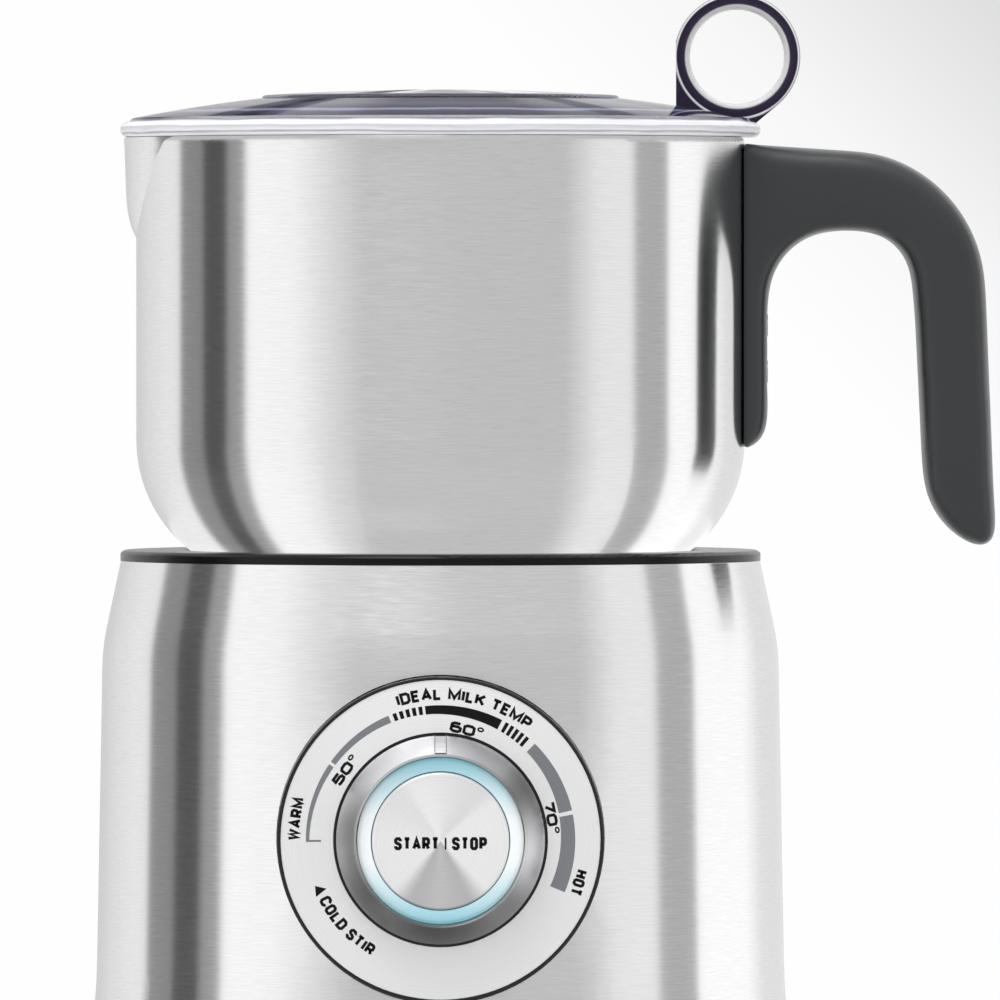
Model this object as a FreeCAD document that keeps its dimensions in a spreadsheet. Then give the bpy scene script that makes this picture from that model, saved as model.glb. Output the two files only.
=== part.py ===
import FreeCAD, Part
import math
import os
import Sketcher

# Milk frother: an induction base with a round dial, a steel jug with a soft-touch
# handle, a clear lid with a measuring cap, and a frothing disc turned by magnets.
# Frame: origin at the middle of the feet's floor, +Z up, dial towards -Y,
# spout towards -X, handle towards +X. All lengths in millimetres.

doc = FreeCAD.newDocument("milk_frother")
sheet = doc.addObject("Spreadsheet::Sheet", "sizes")
Vector = FreeCAD.Vector

UP = FreeCAD.Rotation(Vector(0, 0, 1), 0)
FRONTWARD = FreeCAD.Rotation(Vector(1, 0, 0), 90)
BACKWARD = FreeCAD.Rotation(Vector(1, 0, 0), -90)
SIDEWAYS = FreeCAD.Rotation(Vector(0, 1, 0), 90)


class Size(float):
    """A number that remembers the spreadsheet formula it was worked out with."""

    def __new__(cls, value, formula=None):
        number = float.__new__(cls, value)
        number.formula = formula or f"({float(value)!r})"
        return number

    def __add__(self, other):
        return combine(self, "+", other)

    def __radd__(self, other):
        return combine(other, "+", self)

    def __sub__(self, other):
        return combine(self, "-", other)

    def __rsub__(self, other):
        return combine(other, "-", self)

    def __mul__(self, other):
        return combine(self, "*", other)

    def __rmul__(self, other):
        return combine(other, "*", self)

    def __truediv__(self, other):
        return combine(self, "/", other)

    def __neg__(self):
        return combine(Size(0), "-", self)


def as_size(value):
    return value if isinstance(value, Size) else Size(value)


def combine(left, sign, right):
    left = as_size(left)
    right = as_size(right)
    a = float(left)
    b = float(right)
    values = {"+": a + b, "-": a - b, "*": a * b, "/": a / b if b else 0.0}
    return Size(values[sign], f"({left.formula} {sign} {right.formula})")


def root(value):
    return Size(math.sqrt(value), f"sqrt({value.formula})")


def cosine(angle):
    return Size(math.cos(math.radians(angle)), f"cos({as_size(angle).formula})")


def sine(angle):
    return Size(math.sin(math.radians(angle)), f"sin({as_size(angle).formula})")


rows = []


def size(name, value):
    """Write one driving size into the spreadsheet and hand it back."""
    rows.append(name)
    sheet.set(f"A{len(rows)}", name)
    sheet.set(f"B{len(rows)}", str(value))
    sheet.setAlias(f"B{len(rows)}", name)
    return Size(value, f"sizes.{name}")


def tie(item, prop, value):
    """Set a property and bind it to the formula of its value."""
    value = as_size(value)
    if "sizes." in value.formula:
        item.setExpression(prop, value.formula)
    else:
        target, _, axis = prop.rpartition(".")
        if target:
            base = item.Placement.Base
            setattr(base, axis, float(value))
            item.Placement = FreeCAD.Placement(base, item.Placement.Rotation)
        else:
            setattr(item, prop, float(value))


def place(item, at, turn=UP):
    item.Placement = FreeCAD.Placement(Vector(*[float(v) for v in at]), turn)
    for axis, value in zip("xyz", at):
        tie(item, f"Placement.Base.{axis}", value)
    return item


parts = []


def part(name, item):
    """Mark an object as one finished sub-part of the frother."""
    item.Label = name
    parts.append(item)
    return item


# ---- building blocks -------------------------------------------------------

def cylinder(name, radius, height, at=(0, 0, 0), turn=UP):
    item = doc.addObject("Part::Cylinder", name)
    tie(item, "Radius", radius)
    tie(item, "Height", height)
    return place(item, at, turn)


def box(name, length, width, height, corner, turn=UP):
    item = doc.addObject("Part::Box", name)
    tie(item, "Length", length)
    tie(item, "Width", width)
    tie(item, "Height", height)
    return place(item, corner, turn)


def bar_at(name, length, width, height, foot, turn=UP):
    """A box given by the middle of its bottom face."""
    x, y, z = foot
    if turn is FRONTWARD:
        corner = (x - length / 2, y, z - width / 2)
    else:
        corner = (x - length / 2, y - width / 2, z)
    return box(name, length, width, height, corner, turn)


def cut(name, base, *tools):
    for index, tool in enumerate(tools):
        item = doc.addObject("Part::Cut", f"{name}_{index}")
        item.Base = base
        item.Tool = tool
        base = item
    return base


def fuse(name, *items):
    item = doc.addObject("Part::MultiFuse", name)
    item.Shapes = list(items)
    return item


def group(name, items):
    item = doc.addObject("Part::Compound", name)
    item.Links = list(items)
    return item


def arc_between(start, end, radius):
    """Arc geometry; a positive radius turns left on the way from start to end."""
    a = Vector(float(start[0]), float(start[1]), 0)
    b = Vector(float(end[0]), float(end[1]), 0)
    chord = b - a
    reach = math.sqrt(max(float(radius) ** 2 - (chord.Length / 2) ** 2, 0))
    side = Vector(-chord.y, chord.x, 0).normalize()
    centre = (a + b) / 2 + side * math.copysign(reach, radius)
    first, last = (a, b) if radius > 0 else (b, a)
    angles = [math.atan2(p.y - centre.y, p.x - centre.x) for p in (first, last)]
    circle = Part.Circle(centre, Vector(0, 0, 1), abs(float(radius)))
    return Part.ArcOfCircle(circle, angles[0], angles[1])


def outline(body, name, role, corners):
    """A closed sketch through the corners; a third value in a corner is the
    radius of the arc that leads to it."""
    sketch = body.newObject("Sketcher::SketchObject", name)
    plane = [f for f in body.Origin.OriginFeatures if f.Role == role][0]
    sketch.AttachmentSupport = (plane, [""])
    sketch.MapMode = "FlatFace"
    count = len(corners)
    heads = []
    tails = []
    for index in range(count):
        start = corners[index]
        end = corners[(index + 1) % count]
        radius = end[2] if len(end) > 2 else None
        if radius is None:
            line = Part.LineSegment(Vector(float(start[0]), float(start[1]), 0),
                                    Vector(float(end[0]), float(end[1]), 0))
            sketch.addGeometry(line, False)
            heads.append(1)
            tails.append(2)
        else:
            sketch.addGeometry(arc_between(start, end, radius), False)
            heads.append(1 if radius > 0 else 2)
            tails.append(2 if radius > 0 else 1)
            bound = radius if radius > 0 else -radius
            row = sketch.addConstraint(Sketcher.Constraint("Radius", index, float(bound)))
            sketch.setExpression(f"Constraints[{row}]", as_size(bound).formula)
    for index in range(count):
        after = (index + 1) % count
        sketch.addConstraint(Sketcher.Constraint("Coincident", index, tails[index], after, heads[after]))
        for kind, value in zip(("DistanceX", "DistanceY"), corners[index][:2]):
            if float(value) == 0.0:
                axis = -2 if kind == "DistanceX" else -1
                sketch.addConstraint(Sketcher.Constraint("PointOnObject", index, heads[index], axis))
            else:
                rule = Sketcher.Constraint(kind, -1, 1, index, heads[index], float(value))
                row = sketch.addConstraint(rule)
                sketch.setExpression(f"Constraints[{row}]", as_size(value).formula)
    return sketch


def turned(name, corners, at=(0, 0, 0), turn=UP):
    """A body turned about its own Z from a half section of (radius, height) corners."""
    body = doc.addObject("PartDesign::Body", name)
    sketch = outline(body, f"{name}_section", "XZ_Plane", corners)
    spin = body.newObject("PartDesign::Revolution", f"{name}_turned")
    spin.Profile = sketch
    spin.ReferenceAxis = (sketch, ["V_Axis"])
    spin.Angle = 360
    return place(body, at, turn)


def slab(name, corners, thickness, edge_radius, sharp_root=False):
    """A body padded both ways from an upright outline, with rounded outer edges;
    a sharp root leaves the edges of its leftmost side square."""
    body = doc.addObject("PartDesign::Body", name)
    sketch = outline(body, f"{name}_section", "XZ_Plane", corners)
    pad = body.newObject("PartDesign::Pad", f"{name}_pad")
    pad.Profile = sketch
    tie(pad, "Length", thickness)
    pad.Midplane = True
    doc.recompute()
    half = float(thickness) / 2
    root_x = pad.Shape.BoundBox.XMin
    tiny = 1e-3
    rims = [f"Edge{i + 1}" for i, edge in enumerate(pad.Shape.Edges)
            if abs(abs(edge.CenterOfMass.y) - half) < tiny
            and not (sharp_root and edge.BoundBox.XMax - root_x < tiny)]
    rounding = body.newObject("PartDesign::Fillet", f"{name}_rounding")
    rounding.Base = (pad, rims)
    tie(rounding, "Radius", edge_radius)
    return body


def ring_section(inner, outer, low, high):
    return [(inner, low), (outer, low), (outer, high), (inner, high)]


def spots(radius, count, first_angle):
    """Places evenly spaced on a circle about the object's axis."""
    angles = [first_angle + 360.0 * index / count for index in range(count)]
    return [(radius * cosine(angle), radius * sine(angle), angle) for angle in angles]


def screws(name, places, head_z, head_radius, head_height, shank_radius, length, upward=True):
    """Screws along Z: the head's outer face is at head_z, the shank points up or down."""
    items = []
    for index, (x, y) in enumerate(places):
        sign = 1 if upward else -1
        socket = shank_radius
        profile = [(0, head_height / 2 * sign), (socket, head_height / 2 * sign), (socket, 0),
                   (head_radius, 0), (head_radius, head_height * sign),
                   (shank_radius, head_height * sign), (shank_radius, length * sign),
                   (0, length * sign)]
        items.append(turned(f"{name}_{index}", profile, (x, y, head_z)))
    return group(name, items)


# ---- overall sizes ---------------------------------------------------------

gap = size("curved_gap", 0.3)
running = size("running_gap", 0.05)
overcut = size("overcut", 1.0)
screw_shank = size("screw_shank_radius", 1.5)
screw_head = size("screw_head_radius", 2.8)
screw_head_height = size("screw_head_height", 2.0)
pilot_gap = size("pilot_gap", 0.05)

base_height = size("base_height", 112.0)
jug_radius = size("jug_radius", 59.3)
jug_wall = size("jug_wall", 0.8)
jug_corner = size("jug_corner_radius", 27.3)
jug_height = size("jug_height", 86.2)
recess_depth = size("recess_depth", 6.9)
jug_plate_height = size("jug_plate_height", 1.0)
deck_floor = base_height - recess_depth
jug_bottom = deck_floor + jug_plate_height
jug_rim = jug_bottom + jug_height
corner_r = jug_radius - jug_corner
corner_z = jug_bottom + jug_corner

# ---- outer shell: drawn brushed-steel sleeve, flared at the foot --------------

shell_wall = size("shell_wall", 0.7)
shell_top = jug_radius + size("shell_overhang", 3.0)
shoulder_r = shell_top + size("shoulder_swell", 2.8)
waist_r = shell_top + size("waist_swell", 3.65)
ankle_r = shell_top + size("ankle_swell", 4.7)
shell_foot_r = shell_top + size("foot_flare", 8.7)
deck_rim_height = size("deck_rim_height", 2.1)
shell_top_z = base_height - deck_rim_height
shoulder_z = shell_top_z - size("shoulder_drop", 13.1)
waist_z = shell_top_z - size("waist_drop", 20.9)
ankle_z = size("ankle_height", 31.0)
shell_foot_z = size("shell_foot_height", 6.0)
shoulder_round = size("shoulder_round", 40.0)
flare_round = size("flare_round", 90.0)


def shell_line(inset):
    """The sleeve's outer line, moved in by inset, from its top edge to its foot."""
    return [(shell_top - inset, shell_top_z), (shoulder_r - inset, shoulder_z),
            (waist_r - inset, waist_z, -shoulder_round), (ankle_r - inset, ankle_z),
            (shell_foot_r - inset, shell_foot_z, flare_round)]


def closed_wall(outer, inner):
    """Join two lines that run the same way into one closed section."""
    back = []
    for index in range(len(inner) - 1, -1, -1):
        bend = inner[index + 1][2] if index + 1 < len(inner) and len(inner[index + 1]) > 2 else None
        point = inner[index][:2]
        back.append(point + (-bend,) if bend is not None else point)
    return outer + back


shell_sleeve = turned("shell_sleeve", closed_wall(shell_line(Size(0)), shell_line(shell_wall)))

dial_drop = size("dial_drop", 54.3)
dial_z = base_height - dial_drop
panel_y = shell_top + size("panel_swell", 4.3)
housing_r = size("dial_housing_radius", 31.2)
hole_gap = size("shell_hole_gap", 0.25)
dial_hole = cylinder("dial_hole", housing_r + hole_gap, shell_foot_r + overcut,
                     (0, 0, dial_z), FRONTWARD)

bush_z = size("cord_bush_height", 19.0)
bush_neck = size("cord_bush_neck_radius", 5.4)
bush_hole = cylinder("bush_hole", bush_neck + hole_gap, shell_foot_r + overcut,
                     (0, 0, bush_z), BACKWARD)
part("outer_shell", cut("outer_shell", shell_sleeve, dial_hole, bush_hole))

# ---- top deck: black moulding with the jug's recess and four long posts -------

deck_gap = size("deck_gap", 0.2)
deck_rim_round = size("deck_rim_round", 1.4)
deck_thickness = size("deck_thickness", 2.1)
deck_skirt_depth = size("deck_skirt_depth", 5.4)
deck_skirt_wall = size("deck_skirt_wall", 1.8)
jug_seat_gap = size("jug_seat_gap", 1.0)
seat_round = jug_corner + jug_seat_gap
under_round = seat_round + deck_thickness
seat_lift = corner_z - base_height
seat_r = corner_r + root(seat_round * seat_round - seat_lift * seat_lift)
under_lift = corner_z - shell_top_z
under_r = corner_r + root(under_round * under_round - under_lift * under_lift)
deck_r = shell_top + size("deck_rim_overlap", 0.1)
skirt_r = shell_top - shell_wall - deck_gap
skirt_z = shell_top_z - deck_skirt_depth
deck_under = deck_floor - deck_thickness
deck_plate = turned("deck_plate", [
    (0, deck_under), (corner_r, deck_under), (under_r, shell_top_z, under_round),
    (skirt_r - deck_skirt_wall, shell_top_z), (skirt_r - deck_skirt_wall, skirt_z),
    (skirt_r, skirt_z), (skirt_r, shell_top_z), (deck_r, shell_top_z),
    (deck_r, base_height - deck_rim_round / 2), (deck_r - deck_rim_round, base_height, deck_rim_round),
    (seat_r, base_height), (corner_r, deck_floor, -seat_round), (0, deck_floor)])

post_r = size("post_radius", 4.0)
post_inset = size("post_inset", 1.6)
post_circle = shell_top - shell_wall - post_inset - post_r
pan_floor_z = size("pan_underside_height", 2.0)
pan_floor = size("pan_floor_thickness", 2.5)
pan_boss_height = size("pan_boss_height", 3.5)
pan_top_z = pan_floor_z + pan_floor
post_foot_z = pan_top_z + pan_boss_height
screw_long = size("pan_screw_length", 16.0)
post_spots = spots(post_circle, 4, 45.0)
posts = [cylinder(f"post_{n}", post_r, shell_top_z + deck_rim_height / 2 - post_foot_z, (x, y, post_foot_z))
         for n, (x, y, angle) in enumerate(post_spots)]
post_pilots = [cylinder(f"post_pilot_{n}", screw_shank + pilot_gap, screw_long,
                        (x, y, post_foot_z - overcut)) for n, (x, y, angle) in enumerate(post_spots)]

carrier_top = deck_under - size("carrier_drop", 4.5)
carrier_thickness = size("carrier_thickness", 2.5)
carrier_z = carrier_top - carrier_thickness
carrier_boss = size("carrier_boss_radius", 3.0)
coil_outer = size("coil_outer_radius", 42.0)
boss_circle = coil_outer + carrier_boss + overcut
boss_spots = spots(boss_circle, 3, 90.0)
boss_lift = root(under_round * under_round - (boss_circle - corner_r) * (boss_circle - corner_r))
boss_top = corner_z - boss_lift + deck_thickness / 2
deck_bosses = [cylinder(f"deck_boss_{n}", carrier_boss, boss_top - carrier_top, (x, y, carrier_top))
               for n, (x, y, angle) in enumerate(boss_spots)]
boss_pilot_depth = size("boss_pilot_depth", 6.0)
boss_pilots = [cylinder(f"boss_pilot_{n}", screw_shank + pilot_gap, boss_pilot_depth + overcut,
                        (x, y, carrier_top - overcut)) for n, (x, y, angle) in enumerate(boss_spots)]

sensor_y = size("sensor_offset", 17.5)
sensor_head_r = size("sensor_head_radius", 3.0)
sensor_bore = cylinder("sensor_bore", sensor_head_r + running, deck_thickness + overcut * 2,
                       (0, sensor_y, deck_under - overcut))
deck_solid = fuse("deck_solid", deck_plate, *posts, *deck_bosses)
part("top_deck", cut("top_deck", deck_solid, group("deck_pilots", post_pilots + boss_pilots), sensor_bore))

# ---- base pan: moulded floor with vents, screwed to the deck's posts ----------

pan_edge_round = size("pan_edge_round", 1.0)
pan_r = shell_foot_r - size("pan_edge_inset", 0.1)
upstand_r = shell_foot_r - size("upstand_inset", 2.9)
upstand_wall = size("upstand_wall", 1.7)
upstand_z = size("upstand_height", 12.0)
pan_plate = turned("pan_plate", [
    (0, pan_floor_z), (pan_r - pan_edge_round, pan_floor_z),
    (pan_r, pan_floor_z + pan_edge_round, pan_edge_round), (pan_r, shell_foot_z),
    (upstand_r, shell_foot_z), (upstand_r, upstand_z), (upstand_r - upstand_wall, upstand_z),
    (upstand_r - upstand_wall, pan_top_z), (0, pan_top_z)])
pan_boss_r = size("pan_boss_radius", 5.0)
pan_bosses = [cylinder(f"pan_boss_{n}", pan_boss_r, pan_boss_height + pan_floor / 2,
                       (x, y, pan_top_z - pan_floor / 2)) for n, (x, y, angle) in enumerate(post_spots)]
head_pocket_depth = size("head_pocket_depth", 3.0)
pan_pockets = [cylinder(f"head_pocket_{n}", screw_head + gap, head_pocket_depth + overcut,
                        (x, y, pan_floor_z - overcut)) for n, (x, y, angle) in enumerate(post_spots)]
pan_holes = [cylinder(f"pan_hole_{n}", screw_shank + gap, pan_boss_height + pan_floor + overcut,
                      (x, y, pan_floor_z)) for n, (x, y, angle) in enumerate(post_spots)]

board_z = size("board_height", 23.0)
board_r = post_circle - post_r - size("board_edge_gap", 2.0)
board_screw_circle = board_r - size("board_screw_inset", 5.0)
standoff_r = size("standoff_radius", 3.5)
standoff_spots = spots(board_screw_circle, 4, 0.0)
standoffs = [cylinder(f"standoff_{n}", standoff_r, board_z - pan_top_z + pan_floor / 2,
                      (x, y, pan_top_z - pan_floor / 2)) for n, (x, y, angle) in enumerate(standoff_spots)]
board_pilot = size("board_pilot_depth", 8.0)
standoff_pilots = [cylinder(f"standoff_pilot_{n}", screw_shank + pilot_gap, board_pilot + overcut,
                            (x, y, board_z - board_pilot))
                   for n, (x, y, angle) in enumerate(standoff_spots)]

vent_length = size("vent_length", 14.0)
vent_width = size("vent_width", 3.0)
vent_start = size("vent_start_radius", 9.0)
outlet_length = size("outlet_vent_length", 9.0)
outlet_start = board_screw_circle - size("outlet_vent_inset", 2.0)


def slots(name, count, first_angle, start, length):
    """Radial slots through the pan's floor."""
    items = []
    for index in range(count):
        angle = first_angle + 360.0 * index / count
        turn = FreeCAD.Rotation(Vector(0, 0, 1), angle)
        x = start * cosine(angle) + vent_width / 2 * sine(angle)
        y = start * sine(angle) - vent_width / 2 * cosine(angle)
        items.append(box(f"{name}_{index}", length, vent_width, pan_floor + overcut * 2,
                         (x, y, pan_floor_z - overcut), turn))
    return group(name, items)


foot_r = size("foot_radius", 7.0)
foot_height = size("foot_height", 3.5)
foot_round = size("foot_round", 0.8)
foot_spots = spots(post_circle, 4, 0.0)
foot_pockets = [cylinder(f"foot_pocket_{n}", foot_r + running, foot_height - pan_floor_z + overcut,
                         (x, y, pan_floor_z - overcut)) for n, (x, y, angle) in enumerate(foot_spots)]
fan_side = size("fan_side", 60.0)
fan_height = size("fan_height", 15.0)
fan_hole_pitch = size("fan_hole_pitch", 50.0)
fan_corners = [(fan_hole_pitch / 2 * a, fan_hole_pitch / 2 * b) for a in (-1, 1) for b in (-1, 1)]
fan_pilots = [cylinder(f"fan_pilot_{n}", screw_shank + pilot_gap, pan_floor + overcut,
                       (x, y, pan_floor_z + overcut)) for n, (x, y) in enumerate(fan_corners)]
pan_solid = fuse("pan_solid", pan_plate, *pan_bosses, *standoffs)
part("base_pan", cut(
    "base_pan", pan_solid, group("pan_drillings", pan_pockets + foot_pockets + standoff_pilots),
    group("pan_through_holes", pan_holes + fan_pilots), slots("fan_vent", 12, 15.0, vent_start, vent_length),
    slots("outlet_vent", 8, 22.5, outlet_start, outlet_length)))

for number, (x, y, angle) in enumerate(foot_spots, 1):
    part(f"foot_{number}", turned(f"foot_{number}", [
        (0, 0), (foot_r - foot_round, 0), (foot_r, foot_round, foot_round), (foot_r, foot_height),
        (0, foot_height)], (x, y, Size(0))))

part("pan_screws", screws("pan_screws", [(x, y) for x, y, angle in post_spots],
                          pan_floor_z + head_pocket_depth - screw_head_height, screw_head,
                          screw_head_height, screw_shank, screw_long))

# ---- cord bush: rubber grommet in the back of the shell ----------------------

cord_r = size("cord_entry_radius", 3.6)
bush_flange_r = size("bush_flange_radius", 7.5)
bush_flange = size("bush_flange_thickness", 2.4)
bush_inside = size("bush_inside_length", 5.0)
bush_back_y = ankle_r + bush_flange + size("bush_stand_off", 1.2)
bush_inner_y = ankle_r - shell_wall - bush_inside
bush_lock_y = ankle_r - shell_wall - size("bush_lock_gap", 2.0)
bush_blank = turned("bush_blank", [
    (0, bush_inner_y), (bush_neck + overcut, bush_inner_y), (bush_neck + overcut, bush_lock_y),
    (bush_neck, bush_lock_y), (bush_neck, ankle_r - bush_flange), (bush_flange_r, ankle_r - bush_flange),
    (bush_flange_r, bush_back_y - bush_flange / 2),
    (bush_flange_r - bush_flange / 2, bush_back_y, bush_flange / 2),
    (0, bush_back_y)], (0, 0, bush_z), BACKWARD)
bush_flange_tool = cut("bush_shell_tool", turned(
    "bush_envelope", closed_wall(shell_line(Size(0)), shell_line(bush_inside - overcut))),
    cylinder("bush_keep", bush_neck, shell_foot_r + overcut, (0, 0, bush_z), BACKWARD))
bush_bore = cylinder("bush_bore", cord_r, shell_foot_r + bush_flange * 2, (0, 0, bush_z), BACKWARD)
part("cord_bush", cut("cord_bush", bush_blank, bush_flange_tool, bush_bore))

# ---- induction heater under the deck -------------------------------------------

mica_inner = size("mica_inner_radius", 21.2)
mica_thickness = size("mica_thickness", 0.5)
coil_wire = size("coil_wire_radius", 1.25)
coil_pitch = size("coil_pitch", 2.8)
coil_turns = 7
coil_z = carrier_top + coil_wire + running
part("induction_coil", group("induction_coil", [
    place(torus, (0, 0, coil_z)) for torus in
    [doc.addObject("Part::Torus", f"coil_turn_{n}") for n in range(coil_turns)]]))
for number in range(coil_turns):
    turn_of_wire = doc.getObject(f"coil_turn_{number}")
    tie(turn_of_wire, "Radius1", coil_outer - coil_wire - coil_pitch * number)
    tie(turn_of_wire, "Radius2", coil_wire)
mica_z = coil_z + coil_wire + running
part("mica_sheet", turned("mica_sheet", ring_section(
    mica_inner, coil_outer, mica_z, mica_z + mica_thickness)))

carrier_r = post_circle - post_r - size("carrier_edge_gap", 1.5)
carrier_hole = size("carrier_hole_radius", 14.5)
pillar_circle = size("pillar_circle_radius", 19.0)
pillar_r = size("pillar_radius", 3.0)
pillar_height = size("pillar_height", 4.5)
bracket_gap = size("grommet_flange_thickness", 1.5)
bracket_top = carrier_z - pillar_height - bracket_gap
bracket_thickness = size("bracket_thickness", 2.0)
bracket_z = bracket_top - bracket_thickness
pillar_spots = spots(pillar_circle, 3, 30.0)
carrier_disc = turned("carrier_disc", ring_section(carrier_hole, carrier_r, carrier_z, carrier_top))
pillars = [cylinder(f"pillar_{n}", pillar_r, pillar_height + carrier_thickness / 2,
                    (x, y, carrier_z - pillar_height)) for n, (x, y, angle) in enumerate(pillar_spots)]
pillar_pilots = [cylinder(f"pillar_pilot_{n}", screw_shank + pilot_gap, pillar_height + overcut,
                          (x, y, carrier_z - pillar_height - overcut))
                 for n, (x, y, angle) in enumerate(pillar_spots)]
carrier_holes = [cylinder(f"carrier_drilling_{n}", screw_shank + gap, carrier_thickness + overcut * 2,
                          (x, y, carrier_z - overcut)) for n, (x, y, angle) in enumerate(boss_spots)]
holder_r = size("sensor_holder_radius", 4.5)
holder_bore = size("sensor_holder_bore", 3.4)
carrier_sensor_hole = cylinder("carrier_sensor_hole", holder_bore, carrier_thickness + overcut * 2,
                               (0, sensor_y, carrier_z - overcut))
carrier_solid = fuse("carrier_solid", carrier_disc, *pillars)
part("coil_carrier", cut("coil_carrier", carrier_solid,
                         group("carrier_drillings", pillar_pilots + carrier_holes), carrier_sensor_hole))

carrier_screw_length = size("carrier_screw_length", 9.0)
part("carrier_screws", screws("carrier_screws", [(x, y) for x, y, angle in boss_spots],
                              carrier_z - screw_head_height, screw_head, screw_head_height,
                              screw_shank, carrier_screw_length))

ferrite_length = size("ferrite_length", 20.0)
ferrite_width = size("ferrite_width", 6.0)
ferrite_height = size("ferrite_height", 2.5)
ferrite_start = coil_outer - ferrite_length
ferrite_bars = []
for number in range(6):
    angle = 60.0 * number
    turn_bar = FreeCAD.Rotation(Vector(0, 0, 1), angle)
    x = ferrite_start * cosine(angle) + ferrite_width / 2 * sine(angle)
    y = ferrite_start * sine(angle) - ferrite_width / 2 * cosine(angle)
    ferrite_bars.append(box(f"ferrite_{number}", ferrite_length, ferrite_width, ferrite_height,
                            (x, y, carrier_z - ferrite_height), turn_bar))
part("ferrite_bars", group("ferrite_bars", ferrite_bars))

# ---- sprung temperature sensor that touches the jug ------------------------------

sensor_head = size("sensor_head_height", 6.1)
sensor_stem_r = size("sensor_stem_radius", 1.6)
holder_height = size("sensor_holder_height", 8.0)
holder_floor = size("sensor_holder_floor", 1.5)
holder_z = carrier_z - holder_height
stem_tail = size("sensor_stem_tail", 2.0)
sensor_step = deck_floor - sensor_head
part("sensor_holder", turned("sensor_holder", [
    (sensor_stem_r + running, holder_z), (holder_r, holder_z), (holder_r, carrier_z),
    (holder_bore, carrier_z), (holder_bore, holder_z + holder_floor),
    (sensor_stem_r + running, holder_z + holder_floor)], (0, sensor_y, 0)))
part("sensor_cap", turned("sensor_cap", [
    (0, holder_z - stem_tail), (sensor_stem_r, holder_z - stem_tail), (sensor_stem_r, sensor_step),
    (sensor_head_r, sensor_step), (sensor_head_r, deck_floor), (0, deck_floor)], (0, sensor_y, 0)))

spring_wire = size("sensor_spring_wire_radius", 0.25)
spring_r = size("sensor_spring_radius", 2.4)
spring_turns = 6
spring_low = holder_z + holder_floor + spring_wire + running
spring_high = sensor_step - spring_wire - running
spring_pitch = (spring_high - spring_low) / spring_turns
spring_coils = []
for number in range(spring_turns + 1):
    coil = doc.addObject("Part::Torus", f"spring_coil_{number}")
    tie(coil, "Radius1", spring_r)
    tie(coil, "Radius2", spring_wire)
    spring_coils.append(place(coil, (Size(0), sensor_y, spring_low + spring_pitch * number)))
part("sensor_spring", group("sensor_spring", spring_coils))

# ---- motor that turns the magnets -------------------------------------------------

motor_r = size("motor_radius", 14.0)
motor_height = size("motor_height", 30.0)
shaft_r = size("motor_shaft_radius", 1.5)
motor_z = bracket_z - motor_height
motor_boss = size("motor_boss_radius", 5.0)
shaft_tail = size("motor_shaft_tail", 2.0)
part("motor_can", turned("motor_can", [
    (shaft_r + running, motor_z), (motor_boss, motor_z), (motor_boss + overcut, motor_z + overcut),
    (motor_r - overcut, motor_z + overcut), (motor_r, motor_z + overcut * 2, overcut),
    (motor_r, bracket_z), (motor_boss, bracket_z), (motor_boss, bracket_top),
    (shaft_r + running, bracket_top)]))
bracket_r = pillar_circle + size("bracket_margin", 5.0)
grommet_neck = size("grommet_neck_radius", 3.4)
bracket_disc = turned("bracket_disc", ring_section(motor_boss + running, bracket_r, bracket_z, bracket_top))
bracket_holes = [cylinder(f"bracket_hole_{n}", grommet_neck, bracket_thickness + overcut * 2,
                          (x, y, bracket_z - overcut)) for n, (x, y, angle) in enumerate(pillar_spots)]
bracket_sensor_gap = cylinder("bracket_sensor_gap", holder_r + gap, bracket_thickness + overcut * 2,
                              (0, sensor_y, bracket_z - overcut))
part("motor_bracket", cut("motor_bracket", bracket_disc, group("bracket_drillings", bracket_holes),
                          bracket_sensor_gap))
grommet_flange = size("grommet_flange_radius", 4.6)
grommet_section = [
    (screw_shank + gap, bracket_z - bracket_gap), (grommet_flange, bracket_z - bracket_gap),
    (grommet_flange, bracket_z), (grommet_neck, bracket_z), (grommet_neck, bracket_top),
    (grommet_flange, bracket_top), (grommet_flange, bracket_top + bracket_gap),
    (screw_shank + gap, bracket_top + bracket_gap)]
part("motor_grommets", group("motor_grommets", [
    turned(f"grommet_{n}", grommet_section, (x, y, Size(0)))
    for n, (x, y, angle) in enumerate(pillar_spots)]))
bracket_screw_length = size("bracket_screw_length", 11.0)
part("bracket_screws", screws("bracket_screws", [(x, y) for x, y, angle in pillar_spots],
                              bracket_z - bracket_gap - screw_head_height, screw_head,
                              screw_head_height, screw_shank, bracket_screw_length))

magnet_r = size("magnet_radius", 2.8)
magnet_height = size("magnet_height", 4.0)
magnet_circle = size("magnet_circle_radius", 8.0)
rotor_r = carrier_hole - size("rotor_gap", 2.0)
rotor_top = deck_under - size("rotor_top_gap", 0.8)
rotor_height = size("rotor_height", 9.2)
rotor_z = rotor_top - rotor_height
rotor_floor = size("rotor_floor", 2.0)
part("motor_shaft", cylinder("motor_shaft", shaft_r, rotor_top - rotor_floor - motor_z + shaft_tail,
                             (0, 0, motor_z - shaft_tail)))
rotor_disc = turned("rotor_disc", [
    (0, rotor_top - rotor_floor), (shaft_r, rotor_top - rotor_floor), (shaft_r, rotor_z),
    (motor_boss, rotor_z), (rotor_r - overcut, rotor_top - magnet_height - rotor_floor),
    (rotor_r, rotor_top - magnet_height), (rotor_r, rotor_top), (0, rotor_top)])
magnet_spots = spots(magnet_circle, 4, 0.0)
rotor_pockets = [cylinder(f"rotor_pocket_{n}", magnet_r, magnet_height + overcut,
                          (x, y, rotor_top - magnet_height)) for n, (x, y, angle) in enumerate(magnet_spots)]
part("magnet_carrier", cut("magnet_carrier", rotor_disc, group("rotor_pockets", rotor_pockets)))
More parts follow.
